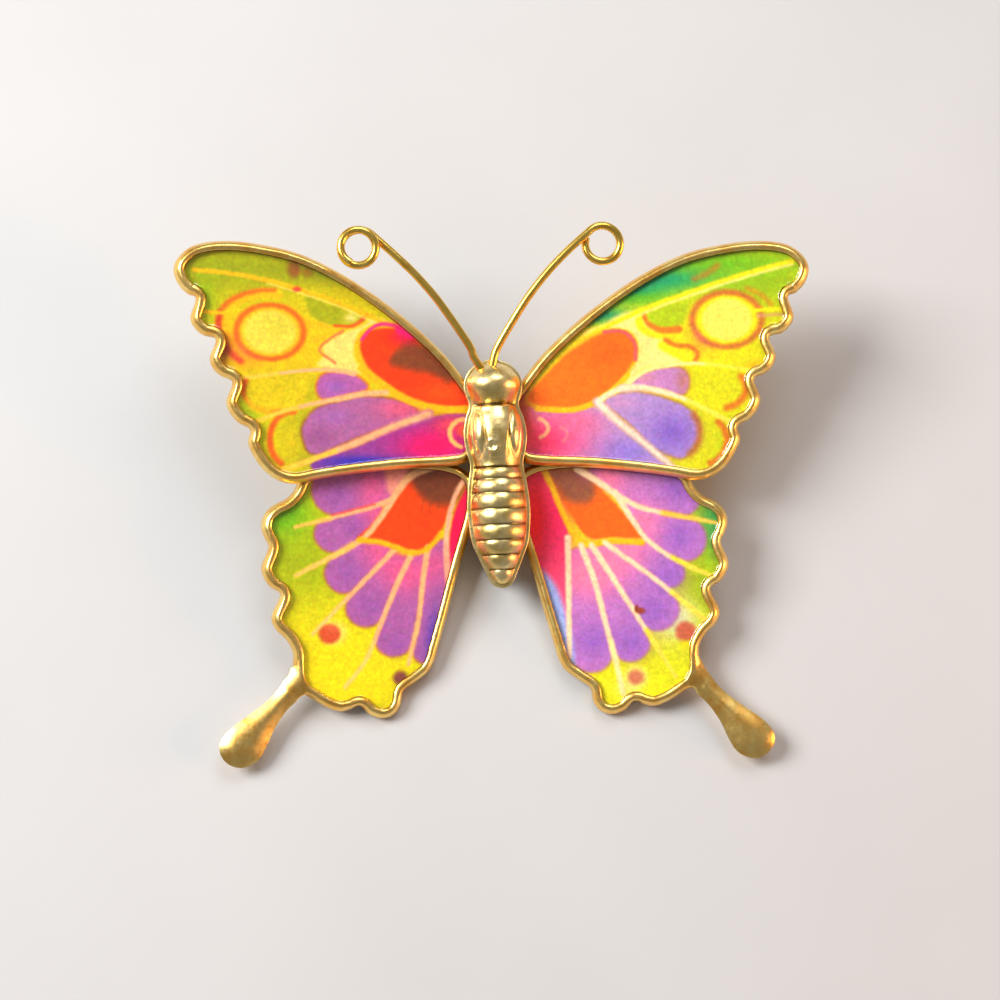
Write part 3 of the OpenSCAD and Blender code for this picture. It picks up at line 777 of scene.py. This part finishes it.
def hindwing_left_art(glow, patch, stroke, spot, cell, vein):
    glow((0.4, 0.74, 0.06), (20, -7), (3, 3))
    glow((0.62, 0.72, 0.02), (18, -11.5), (5, 3.5), 0.9)
    glow(YELLOW, (14, -22), (9, 5.5))
    # Veins, from the front edge to the inner edge
    front = [(9.5, -1.5), (14, -1.9), (18, -2.25)]
    fork = [(10, -5.5), (12, -6.25), (14, -6.75), (16.5, -7.4), (19, -8)]
    main = [(5.5, -2.25), (8, -3.25), (9.5, -5), (11, -7.25), (12.5, -9), (14.5, -10.25), (17, -11.5),
        (19, -12.5)]
    second = [(9.5, -10), (11.5, -12), (13.5, -14), (15.5, -16), (17.5, -18)]
    third = [(8, -10.5), (9.5, -13.5), (11, -17), (12.5, -20.5), (14.5, -23)]
    fourth = [(6.5, -10), (7, -13), (7.5, -17), (8.5, -21)]
    fifth = [(2.5, -3), (3.75, -5), (4.5, -7.5), (4.75, -10.5), (4.5, -13.5)]
    inner = [(4.75, -9), (4.5, -14.5), (5.25, -18), (6, -21.5)]
    cells = [(front, fork, (0, 0), (0.72, 0.56)), (fork, main, (0.12, 0.42), (0.78, 0.68)),
        (main, second, (0.56, 0), (0.78, 0.52)), (second, third, (0.08, 0.05), (0.6, 0.48)),
        (third, fourth, (0.05, 0.02), (0.64, 0.76)), (fourth, inner, (0, 0.02), (0.84, 0.92))]
    for row in cells:
        cell((0.68, 0.38, 0.72), (0.7, 0.36, 0.4), cell_between(*row, 0.2))
    for centre in [(11.5, -4.25), (11.5, -7), (11.25, -10.25), (9.5, -12), (8, -12.5), (5.75, -11.5)]:
        glow((0.95, 0.36, 0.62), centre, (1.6, 1.8), 0.7)
    for centre in [(15, -5), (13.25, -8), (14, -12.25), (12, -15.5), (9.5, -19)]:
        glow((0.55, 0.32, 0.76), centre, (1.2, 1.1), 0.4)
    glow((0.25, 0.2, 0.85), (5.75, -19.5), (0.9, 2.8))
    pink = [(2, -3.5), (3, -4.75), (4, -7), (4.5, -10), (4.25, -13.5), (3.4, -12), (2.25, -8.5),
        (1.5, -6)]
    patch((1, 0, 0.36), pink, 0.25)
    glow(ROSE, (4, -12.5), (0.8, 1.6), 0.8)
    diamond = [(13.25, -9.25), (11.75, -7.75), (10.5, -6), (9.25, -4.5), (7.75, -3.4), (6, -2.75),
        (3.5, -2.75), (2.75, -3.75), (4, -6), (5.25, -8.5), (6.5, -10), (8, -10.4), (9.5, -9.9),
        (11, -9.4)]
    patch((1, 0.62, 0.6), [(7.5, -1.5), (10.25, -1.5), (10.25, -4.75), (9, -4.5), (7.5, -3)], 0.35)
    patch((1, 0.28, 0), diamond)
    shade = [(8.25, -3), (6.5, -2.5), (2.75, -3), (3, -4.5), (4.25, -6), (6.75, -5.5)]
    patch((0.46, 0.23, 0.14), shade, 0.6, 0.95)
    for x in (3.75, 4.5, 5.25, 6, 6.75):
        stroke((0.6, 0.25, 0.08), [(x, -5), (x + 0.3, -6.75)], 0.16, 0.2, 0.5)
    vein(fifth, 0.45, 0.6, (1, 0.68, 0.6), (1, 0.74, 0.62))
    vein(fork, 0.5, 0.22, (1, 0.8, 0.3))
    stroke((1, 0.3, 0.3), [(11.5, -5.9), (13.5, -6.4), (15.5, -6.9)], 0.18, strength=0.8)
    vein(main, 0.8, 0.28, (1, 0.84, 0.35))
    vein(second, 0.55, 0.28, (1, 0.88, 0.4))
    vein(third, 0.6, 0.3, (1, 0.9, 0.4))
    vein(fourth, 0.6, 0.3, (1, 0.78, 0.5))
    stroke(GOLDEN, [(13, -9.25), (11, -9.5), (9.5, -10), (8, -10.5), (6.5, -10.1), (5.25, -8.75)], 0.5,
        0.2)
    spot(PALE, (15.5, -17.9), (1.35, 1.2), 0.5, 0.6)
    spot((0.82, 0.26, 0.16), (15.9, -18), (1, 0.9), 0.25, 0.9)
    glow((0.95, 0.45, 0.3), (15.75, -17.6), (0.5, 0.4), 0.7)
    spot((0.5, 0.22, 0.3), (9.25, -22.25), (0.7, 0.65), 0.3, 0.9)


def hindwing_right_art(glow, patch, stroke, spot, cell, vein):
    glow((0.25, 0.62, 0.3), (21, -8), (2, 4))
    glow((0.62, 0.74, 0), (20, -14), (3, 2.5), 0.9)
    glow((0.92, 0.92, 0.05), (13, -24), (9, 3), 0.9)
    glow((0.86, 0.88, 0.72), (17.25, -17.1), (2.3, 2.3))
    glow((0.9, 0.9, 0.6), (12.5, -23.5), (1.2, 1), 0.7)
    front = [(9.5, -1.5), (14, -2), (18.5, -2.75)]
    fork = [(8, -2.75), (10, -4), (11.75, -5.25), (13.75, -6.4), (16, -7), (18.5, -7.5), (21, -8)]
    main = [(11.5, -5), (12.75, -7), (14.25, -9.25), (16, -10.75), (18.25, -12), (21, -13.25)]
    second = [(10.5, -9.75), (12.5, -11.25), (14.75, -12.9), (17, -14.75), (20, -17.25)]
    third = [(9.25, -10), (11, -12.75), (13, -16), (15, -19.25), (17, -22.5)]
    fourth = [(8.25, -10), (9.5, -13.5), (10.5, -17.5), (11.5, -21.5), (12, -24)]
    fifth = [(7, -9.25), (7, -12), (7, -16), (7, -20.5)]
    cells = [(front, fork, (0, 0.1), (0.82, 0.8)), (fork, main, (0.4, 0.12), (0.84, 0.72)),
        (main, second, (0.42, 0.02), (0.7, 0.58)), (second, third, (0.05, 0.02), (0.68, 0.62)),
        (third, fourth, (0.03, 0.02), (0.68, 0.74)), (fourth, fifth, (0.02, 0.12), (0.74, 0.97))]
    for row in cells:
        cell((0.74, 0.46, 0.82), (0.7, 0.44, 0.55), cell_between(*row, 0.2))
    for centre in [(17.5, -4.75), (17.5, -9.25), (16.5, -13), (15, -16.25), (13, -19.25), (9.25, -19)]:
        glow((0.56, 0.36, 0.82), centre, (1.8, 1.6), 0.7)
    blush = [(10.75, -3.5), (13.75, -8), (12.25, -10.5), (10.5, -11.75), (9.5, -12.75), (8, -12.5)]
    for centre in blush:
        glow((1, 0.5, 0.7), centre, (2, 1.9), 0.85)
    inner = [(4, -2.5), (5, -3.5), (6, -5.5), (7, -8.5), (7, -12), (6.9, -16), (6.75, -20.5), (5, -18),
        (3, -12), (1.5, -7), (1.5, -4)]
    patch((1, 0.3, 0.52), inner)
    glow((1, 0.12, 0.42), (5.75, -7.5), (1.5, 3.8))
    glow((1, 0.02, 0.1), (3.9, -7.5), (1, 3.8))
    glow((0.5, 0, 0.05), (2.6, -4.5), (0.7, 2.6), 0.8)
    lavender = [(3.75, -12.5), (5.25, -14), (6.25, -17), (6.9, -21), (5.25, -20), (3.25, -13)]
    patch((0.62, 0.7, 1), lavender, 0.45, 1, 0.6)
    diamond = [(5.25, -3), (8, -2.9), (9.75, -4.25), (11.25, -5.75), (12.5, -7.25), (14, -9.3),
        (11.75, -9.3), (9.5, -9.4), (8.4, -8.75), (7.25, -7), (6.1, -4.75)]
    patch((1, 0.4, 0), diamond)
    shade = [(5, -2.75), (8.5, -2.75), (9.75, -4.5), (9, -6), (7, -5.75), (6, -4.5)]
    patch((0.55, 0.32, 0.25), shade, 0.7, 0.95)
    glow((0.55, 0.25, 0.5), (8.75, -3.25), (0.9, 0.7), 0.5)
    stroke(GOLDEN, [(4.75, -2.75), (5.5, -4.25), (6.5, -6.75), (7.5, -8.75), (8.75, -9.9), (11, -9.6),
        (14, -9.75)], 0.6, 0.18)
    cream_vein = (1, 0.86, 0.74)
    veins = [(fork, 0.7, 0.24, GOLDEN), (main, 0.6, 0.3, YELLOW), (second, 0.5, 0.35, YELLOW),
        (third, 0.6, 0.3, YELLOW), (fourth, 0.6, 0.45, (1, 0.95, 0.6))]
    for path, width, end_width, far in veins:
        vein(path, width, end_width, far, cream_vein)
    stroke(cream_vein, fifth, 0.6, 0.16, end_width=0.45)
    spot((0.78, 0.34, 0.26), (18, -18.25), (0.95, 0.95), 0.3, 0.9)
    glow(YELLOW, (18, -19.5), (0.8, 0.4), 0.8)
    spot((0.9, 0.9, 0.5), (13.25, -22.5), (1.2, 1.2), 0.4, 0.7)
    spot((0.82, 0.44, 0.36), (13.25, -22.5), (0.75, 0.7), 0.3, 0.9)
    spot((0.6, 0.22, 0.1), (13.75, -16.25), (0.45, 0.28), 0.15, 0.9)
    spot((0.55, 0.2, 0.1), (13.4, -16), (0.2, 0.3), 0.12, 0.9)


ART = {("forewing", LEFT): (forewing_left_art, (0.85, 0.8, 0.0)),
       ("forewing", RIGHT): (forewing_right_art, (0.86, 0.86, 0.0)),
       ("hindwing", LEFT): (hindwing_left_art, (0.84, 0.84, 0.0)),
       ("hindwing", RIGHT): (hindwing_right_art, (0.84, 0.86, 0.02))}


# ---- wings ----

def convexity(loop):
    """How strongly each point of a loop bulges, from -1 in a notch to 1 on a tight lobe."""
    along_loop = np.roll(loop, -1, 0) - loop
    length = np.linalg.norm(along_loop, axis=1)
    heading = np.arctan2(along_loop[:, 1], along_loop[:, 0])
    turn = (heading - np.roll(heading, 1) + math.pi) % (2 * math.pi) - math.pi
    bend = averaged(turn, 12) / averaged(length, 12)
    return np.clip(1.3 * bend, -1, 1)


def tray_rings(loop):
    """Rings of a pressed tray: hollow underside, sloping wall, rolled ridge, crimped lip."""
    normal = inward(loop, 2)
    smooth_normal = inward(loop, 120)
    wobble = 0.03 * wander(loop, 1.5, 1) + 0.02 * wander(loop, 0.5, 2)
    crimp = 0.05 * wander(loop, 0.45, 4) + 0.03 * wander(loop, 0.2, 5)
    ridge = 0.5 + 0.16 * averaged(convexity(loop), 20) + wobble

    def ring(distance_in, height, way=normal):
        return np.column_stack([loop + way * np.reshape(distance_in, (-1, 1)),
                                np.broadcast_to(height, len(loop))])

    rings = [ring(d, z, smooth_normal) for d, z in ((1.6, 0.12), (1.35, 0.1), (1.1, 0.0))]
    rings += [ring(d, z) for d, z in ((0.28, 0.0), (0.1, 0.03), (0.02, 0.1))]
    foot = 0.16
    for turn in np.radians(np.arange(0, 91, 9)):
        outer = ridge * (1 - math.cos(turn))
        rise = 0.78 * math.sin(turn) + 0.22 * (1 - math.cos(turn))
        rings.append(ring(outer, foot + (TRAY_H - foot) * rise))
    inner_wall = ((0.35, 0.01), (0.65, 0.05), (0.88, 0.12), (0.98, 0.2), (1, 0.3), (1.01, 0.6))
    for share, drop in inner_wall:
        lip = RIM + crimp * (1 - drop)
        dip = 0.6 * crimp * share * (drop < 0.3)
        rings.append(ring(ridge + (lip - ridge) * share, TRAY_H - drop - dip))
    rings.append(ring(RIM + 0.03, FLOOR))
    return rings


def tail_mesh(loop, tray_loop):
    """Spoon-shaped tail, reaching into the rim where it joins the tray."""
    joined = distance(loop, tray_loop, True) < 0.03
    reach = 0.75
    nearest = np.argmin(np.linalg.norm(loop[:, None] - tray_loop[None], axis=2), axis=1)
    pushed = loop.copy()
    pushed[joined] = (tray_loop[nearest] + inward(tray_loop, 2)[nearest] * reach)[joined]
    free = loop[~joined]
    turn = int(np.argmax(np.linalg.norm(np.roll(free, -1, 0) - free, axis=1))) + 1
    free = np.roll(free, -turn, 0)
    flat, faces = sheet(refine(pushed, 0.15), 0.14, (0.03, 0.09, 0.18, 0.3))
    gap = distance(flat, free)
    widest = 1.7
    fullness = 1.9
    shape = 1 - (1 - np.clip(gap / widest, 0, 1)) ** fullness
    creases = 0.012 * wander(flat, 0.45, 10) * smoothstep(0.2, 0.8, gap)
    middle, crown, belly = 0.58, 0.6, 0.42
    top = np.column_stack([flat, middle + crown * shape + creases])
    under = np.column_stack([flat, middle - belly * shape])
    edge = set(border(faces))
    n = len(flat)
    under_index = [i if i in edge else n + i for i in range(n)]
    under_faces = [tuple(under_index[i] for i in reversed(f)) for f in faces]
    return np.concatenate([top, under]), faces + under_faces


def plain_mesh(points, faces):
    """Mesh of some points and faces, without the points that no face uses."""
    mesh = bpy.data.meshes.new("work")
    mesh.from_pydata([tuple(p) for p in points], [], faces)
    mesh.validate()
    work = bmesh.new()
    work.from_mesh(mesh)
    loose = [v for v in work.verts if not v.link_faces]
    bmesh.ops.delete(work, geom=loose, context="VERTS")
    work.to_mesh(mesh)
    work.free()
    return mesh


def joined_tail(tray, tail, tray_loop, tail_loop):
    """Tray and tail as one casting, with the crease between them filled."""
    second = new_object("tail", plain_mesh(*tail))

    def unite(holder):
        modifier = holder.modifiers.new("union", "BOOLEAN")
        modifier.operation = "UNION"
        modifier.solver = "EXACT"
        modifier.object = second

    mesh = evaluated(plain_mesh(*tray), unite)
    bpy.data.objects.remove(second)
    work = bmesh.new()
    work.from_mesh(mesh)
    flat = np.array([v.co[:2] for v in work.verts])
    heights = np.array([v.co[2] for v in work.verts])
    in_tail = depth(flat, tail_loop)
    in_tray = depth(flat, tray_loop)
    seam = (in_tail > -0.7) & (np.abs(in_tray + 0.1) < 0.85) & (heights > 0.25)
    crown = (in_tail > 0.3) & (in_tray < -0.3)
    for chosen, times in ((crown, 10), (seam, 22)):
        soft = [v for v, hit in zip(work.verts, chosen) if hit]
        for _ in range(times):
            bmesh.ops.smooth_vert(work, verts=soft, factor=0.5, use_axis_x=True, use_axis_y=True,
                                  use_axis_z=True)
    points = [tuple(v.co) for v in work.verts]
    faces = [tuple(v.index for v in f.verts) for f in work.faces]
    work.free()
    return points, faces


def wing_tray(kind, side, plane, loop):
    name = f"{kind}_tray_{SIDE_NAMES[side]}"
    points, faces = loft(tray_rings(loop))
    if kind == "hindwing":
        tail_loop = outline(name, plane, TAIL_FOOT)
        points, faces = joined_tail((points, faces), tail_mesh(tail_loop, loop), loop, tail_loop)
    build(name, points, faces, plane, TRAY_GOLD, sharp=50)


def wing_print(kind, side, plane, loop):
    name = f"{kind}_print_{SIDE_NAMES[side]}"
    flat, faces = sheet(inset(loop, RIM), 0.1)
    top = PRINT_TOP + 0.004 * wander(flat, 2.5, 6)
    points, solid = slab(flat, faces, top, FLOOR + 0.01)
    draw, base = ART[(kind, side)]
    art = Artwork(flat, base)
    draw(art.glow, art.patch, art.stroke, art.spot, art.cell, art.vein)
    art.mottle()
    piece = build(name, points, solid, plane, PRINT, sharp=60)
    ink = np.ones((len(points), 4))
    ink[:, :3] = linear((0.9, 0.88, 0.8))
    ink[:len(flat), :3] = linear(np.clip(art.ink, 0, 1))
    layer = piece.data.color_attributes.new("ink", "FLOAT_COLOR", "POINT")
    layer.data.foreach_set("color", ink.ravel())


def wing_resin(kind, side, plane, loop):
    """Resin that climbs the lip at its edge and swells a little in the middle."""
    name = f"{kind}_resin_{SIDE_NAMES[side]}"
    edge = inset(loop, RIM + 0.01)
    flat, faces = sheet(edge, 0.3, (0.08, 0.18, 0.32))
    gap = distance(flat, edge, True)
    top = RESIN_TOP + 0.1 * np.exp(-gap / 0.2) + 0.06 * smoothstep(0, 3, gap)
    top = top + 0.012 * wander(flat, 2.2, 8)
    points, solid = slab(flat, faces, top, RESIN_FOOT)
    build(name, points, solid, plane, RESIN, sharp=60)


def wings():
    for kind, lift in (("hindwing", 0), ("forewing", TRAY_H)):
        for side in (LEFT, RIGHT):
            plane = wing_plane(side, lift)
            loop = refine(outline(f"{kind}_tray_{SIDE_NAMES[side]}", plane, 0), 0.15)
            wing_tray(kind, side, plane, loop)
            wing_print(kind, side, plane, loop)
            wing_resin(kind, side, plane, loop)


# ---- body ----

HEAD_Y = 5.4
NECK_Y = 3.3


def hump(values, centre, width):
    return np.exp(-((values - centre) / width) ** 2)


def body_groove_shade(y, steep):
    """Painted shade in the rings' grooves and in the neck's crease."""
    painted_shade = hump(y, NECK_Y - 0.02, 0.15)
    for ring in RINGS[:-1]:
        painted_shade = np.maximum(painted_shade, hump(y, ring, 0.11))
    return 0.95 * painted_shade * smoothstep(0.02, 0.25, steep)


def body_relief(x, y, steep):
    """How far the dome's skin stands out at a point: rings, neck, shield, bosses and a dent.
    steep is 0 at the dome's foot and 1 on its crown."""
    out = np.zeros_like(x)
    crown = smoothstep(0.02, 0.3, steep)
    ring_depth, ring_fullness = 0.24, 0.55
    for high, low in zip(RINGS[:-1], RINGS[1:]):
        between = (y <= high) & (y > low)
        share = np.clip((y - low) / (high - low), 0, 1)
        out -= np.where(between, ring_depth * (1 - np.sin(math.pi * share) ** ring_fullness), 0) * crown
    under_head = np.clip((HEAD_Y - y) / (HEAD_Y - NECK_Y), 0, 1)
    rounding = 0.6 * (1 - np.sqrt(1 - 0.97 * under_head ** 2))
    out -= rounding * smoothstep(NECK_Y - 0.3, NECK_Y, y) * crown
    out += 0.12 * hump(y, HEAD_Y, 1.1) * crown
    shield_half = 0.72 + 0.6 * np.clip((y + 1.75) / 4.85, 0, 1)
    shield = smoothstep(-0.07, 0.07, shield_half - np.abs(x))
    shield = shield * smoothstep(-1.95, -1.6, y) * smoothstep(-3.2, -3.0, -y)
    out += 0.16 * shield
    for side in (LEFT, RIGHT):
        apart = np.hypot((x - side * 1.72) / 0.45, (y - 0.75) / 1.9)
        out += 0.24 * np.sqrt(np.clip(1 - apart ** 2, 0, 1)) - 0.1 * hump(apart, 1.15, 0.2) * crown
    dent = np.hypot(x + 0.5, y + 0.7)
    out -= 0.14 * hump(dent, 0, 0.28) - 0.07 * hump(dent, 0.5, 0.16)
    return out


def body_shell():
    """Cast dome of the head, thorax and abdomen."""
    foot = inset(refine(outline("body_base", BODY_PLANE, DOME_Z), 0.1), FLANGE)
    right = foot[foot[:, 0] > 0]
    right = right[np.argsort(right[:, 1])]
    low, high = foot[:, 1].min(), foot[:, 1].max()
    rows, n = 300, 110
    turn = np.linspace(0, math.pi, n)
    sunk = 0.02
    points = []
    painted_shade = []
    for u in (np.arange(rows) + 0.5) / rows:
        y = low + (high - low) * (1 - math.cos(math.pi * u)) / 2
        ends = math.sqrt(max(1 - abs(2 * u - 1) ** 12, 0))
        half = float(np.interp(y, right[:, 1], right[:, 0]))
        half = max(half * ends, 0.02)
        x = half * np.cos(turn)
        rise = half * np.sin(turn)
        level = np.full(n, y)
        skin = body_relief(x, level, np.sin(turn)) * min(1, half / 0.6)
        # Painted shade: the rings' grooves and the neck's crease are darkened.
        painted_shade.append(body_groove_shade(level, np.sin(turn)))
        skin += 0.012 * wander(np.stack([x, level], 1), 0.8, 9)
        points.append(np.stack([x + skin * np.cos(turn), level,
                                DOME_Z - sunk + np.maximum(rise + skin * np.sin(turn), 0)], 1))
    faces = [(r * n + c, r * n + c + 1, (r + 1) * n + c + 1, (r + 1) * n + c)
             for r in range(rows - 1) for c in range(n - 1)]
    faces += [((r + 1) * n, (r + 2) * n - 1, (r + 1) * n - 1, r * n) for r in range(rows - 1)]
    faces.append(tuple(range(n - 1, -1, -1)))
    faces.append(tuple((rows - 1) * n + c for c in range(n)))
    faces = [tuple(reversed(f)) for f in faces]
    piece = build("body_shell", np.concatenate(points), faces, BODY_PLANE, BODY_GOLD,
                  sharp=60)
    groove_shade(piece, np.concatenate(painted_shade))


# ---- antennae ----

# Points that each wire passes through from the head to its coil
WIRES = {
    LEFT: [(-0.85, 6.2, 6.45), (-1.75, 7.7, 6.7), (-2.2, 8.9, 6.85), (-4.7, 12.8, 7.2),
           (-6.5, 15.1, 7.4), (-8.3, 17, 7.6)],
    RIGHT: [(-0.2, 6.1, 6.5), (0.14, 7.7, 6.7), (0.7, 8.9, 6.85), (2.2, 11.2, 7.1),
            (3.7, 13.3, 7.3), (5.6, 15.5, 7.5), (7.6, 17.4, 7.7)],
}
# Each coil: centre, joining radius, start angle, turn, rise for a whole turn
COILS = {
    LEFT: ((-12.1, 18.1, 7.7), 1.85, 45, 560, 0.85),
    RIGHT: ((10.8, 17.8, 7.8), 1.75, 139, -345, -0.9),
}


def coil_points(centre, joining_r, start, turn, rise):
    degrees_apart = 8
    settle = 90
    turned = np.linspace(0, turn, math.ceil(abs(turn) / degrees_apart) + 1)
    r = COIL_R + (joining_r - COIL_R) * np.maximum(0, 1 - np.abs(turned) / settle)
    angle = np.radians(start + turned)
    return np.stack([centre[0] + r * np.cos(angle), centre[1] + r * np.sin(angle),
                     centre[2] + rise * np.abs(turned) / 360], 1)


def tube_rings(path, radius):
    """Rings of a round wire along a path, closed by rounded ends."""
    sides = 20
    way = np.gradient(path, axis=0)
    way /= np.linalg.norm(way, axis=1)[:, None]
    across = np.cross(way, (0, 0, 1))
    across /= np.linalg.norm(across, axis=1)[:, None]
    up = np.cross(across, way)
    turn = np.radians(np.arange(sides) * 360 / sides)
    circle = np.cos(turn)[:, None, None] * across + np.sin(turn)[:, None, None] * up
    scale = np.full(len(path), radius)
    scale[0] = scale[-1] = 0.62 * radius
    scale[1] = scale[-2] = 0.92 * radius
    return [path[i] + circle[:, i] * scale[i] for i in range(len(path))]


def antennae():
    for side in (LEFT, RIGHT):
        coil = coil_points(*COILS[side])
        stem = refine(np.array(WIRES[side] + [tuple(coil[0])]), 0.3, False)
        path = np.concatenate([stem[:-1], coil])
        first, last = path[1] - path[0], path[-1] - path[-2]
        rounding = 0.1
        path = np.concatenate([[path[0], path[0] + first * rounding], path[1:-1],
                               [path[-1] - last * rounding, path[-1]]])
        points, faces = loft([ring[::-1] for ring in tube_rings(path, WIRE_R)])
        build(f"antenna_{SIDE_NAMES[side]}", points, faces, BODY_PLANE, WIRE_GOLD,
              sharp=60)


# ---- back ----

def findings():
    """The closing plate, the parts of the back and the pin."""
    softened("body_base", 0.12, BODY_GOLD)
    softened("back_plate", 0.1, TRAY_GOLD)
    softened("pin_bar", 0.12, FINDING_GOLD)
    softened("hinge_bracket", 0.07, FINDING_GOLD)
    softened("hinge_rivet", 0.08, STEEL)
    softened("catch_housing", 0.06, FINDING_GOLD)
    softened("pin_stem", 0.06, STEEL, "stem")
    softened("catch_rotor", 0.06, FINDING_GOLD, "catch")
    for side in SIDE_NAMES.values():
        softened(f"wing_seat_{side}", 0.15, TRAY_GOLD)


# ---- stage ----

def floor():
    half = 1.5
    z = cad_box[0][2]
    mesh = bpy.data.meshes.new("floor")
    mesh.from_pydata([(-half, -half, z), (half, -half, z), (half, half, z), (-half, half, z)], [],
                     [(0, 1, 2, 3)])
    made, tree = new_material("floor_look")
    tone = remap(tree, speckle(tree, texture_place(tree), 40, 3), 0.3, 0.7, 0.0, 1.0)
    colour = mixed(tree, tone, (0.49, 0.5, 0.52, 1), (0.52, 0.53, 0.55, 1))
    shader = add(tree, "BsdfPrincipled", {"Base Color": colour, "Roughness": 0.7})
    surface(tree, shader)
    mesh.materials.append(made)
    new_object("floor", mesh)


def soft_light(name, azimuth, elevation, reach, size, power, colour=(1, 1, 1)):
    """Square soft box that faces the brooch from a direction."""
    a, e = math.radians(azimuth), math.radians(elevation)
    light = bpy.data.lights.new(name, "AREA")
    light.shape = "SQUARE"
    light.size = size
    light.energy = power
    light.color = colour
    lamp = new_object(name, light)
    way = Vector((math.cos(e) * math.cos(a), math.cos(e) * math.sin(a), math.sin(e)))
    lamp.location = way * reach
    lamp.rotation_euler = way.to_track_quat("Z", "Y").to_euler()


def lights():
    soft_light("key", 162, 42, 0.5, 0.24, 3.7, (1, 0.97, 0.92))
    soft_light("top", 75, 50, 0.6, 0.3, 1.4)
    soft_light("fill", -12, 18, 0.5, 0.2, 1.4, (1, 0.5, 0.2))
    world = bpy.data.worlds.new("studio")
    world.use_nodes = True
    sky = world.node_tree.nodes["Background"].inputs
    sky["Color"].default_value = (0.98, 0.97, 0.95, 1)
    sky["Strength"].default_value = 0.24
    bpy.context.scene.world = world


def camera():
    """Camera over the brooch, a little below its middle and to the left."""
    target = TIPPED @ Vector((0.5, -5.6, 3.5)) * MM
    elevation = math.radians(77)
    sideways = math.radians(-4.5)
    reach = 0.2
    way = Vector((math.sin(sideways), -math.cos(elevation), math.sin(elevation))).normalized()
    lens = bpy.data.cameras.new("camera")
    lens.lens = 76
    lens.sensor_width = 36
    lens.clip_start = 0.01
    eye = new_object("camera", lens)
    eye.location = target + way * reach
    roll = math.radians(-1.6)
    across = Vector((0, 1, 0)).cross(way).normalized()
    turn = Matrix((across, way.cross(across), way)).transposed().to_4x4()
    eye.rotation_euler = (turn @ Matrix.Rotation(roll, 4, "Z")).to_euler()
    bpy.context.scene.camera = eye


camera()
lights()
floor()
wings()
body_shell()
antennae()
findings()
bpy.context.scene.view_settings.view_transform = "Standard"
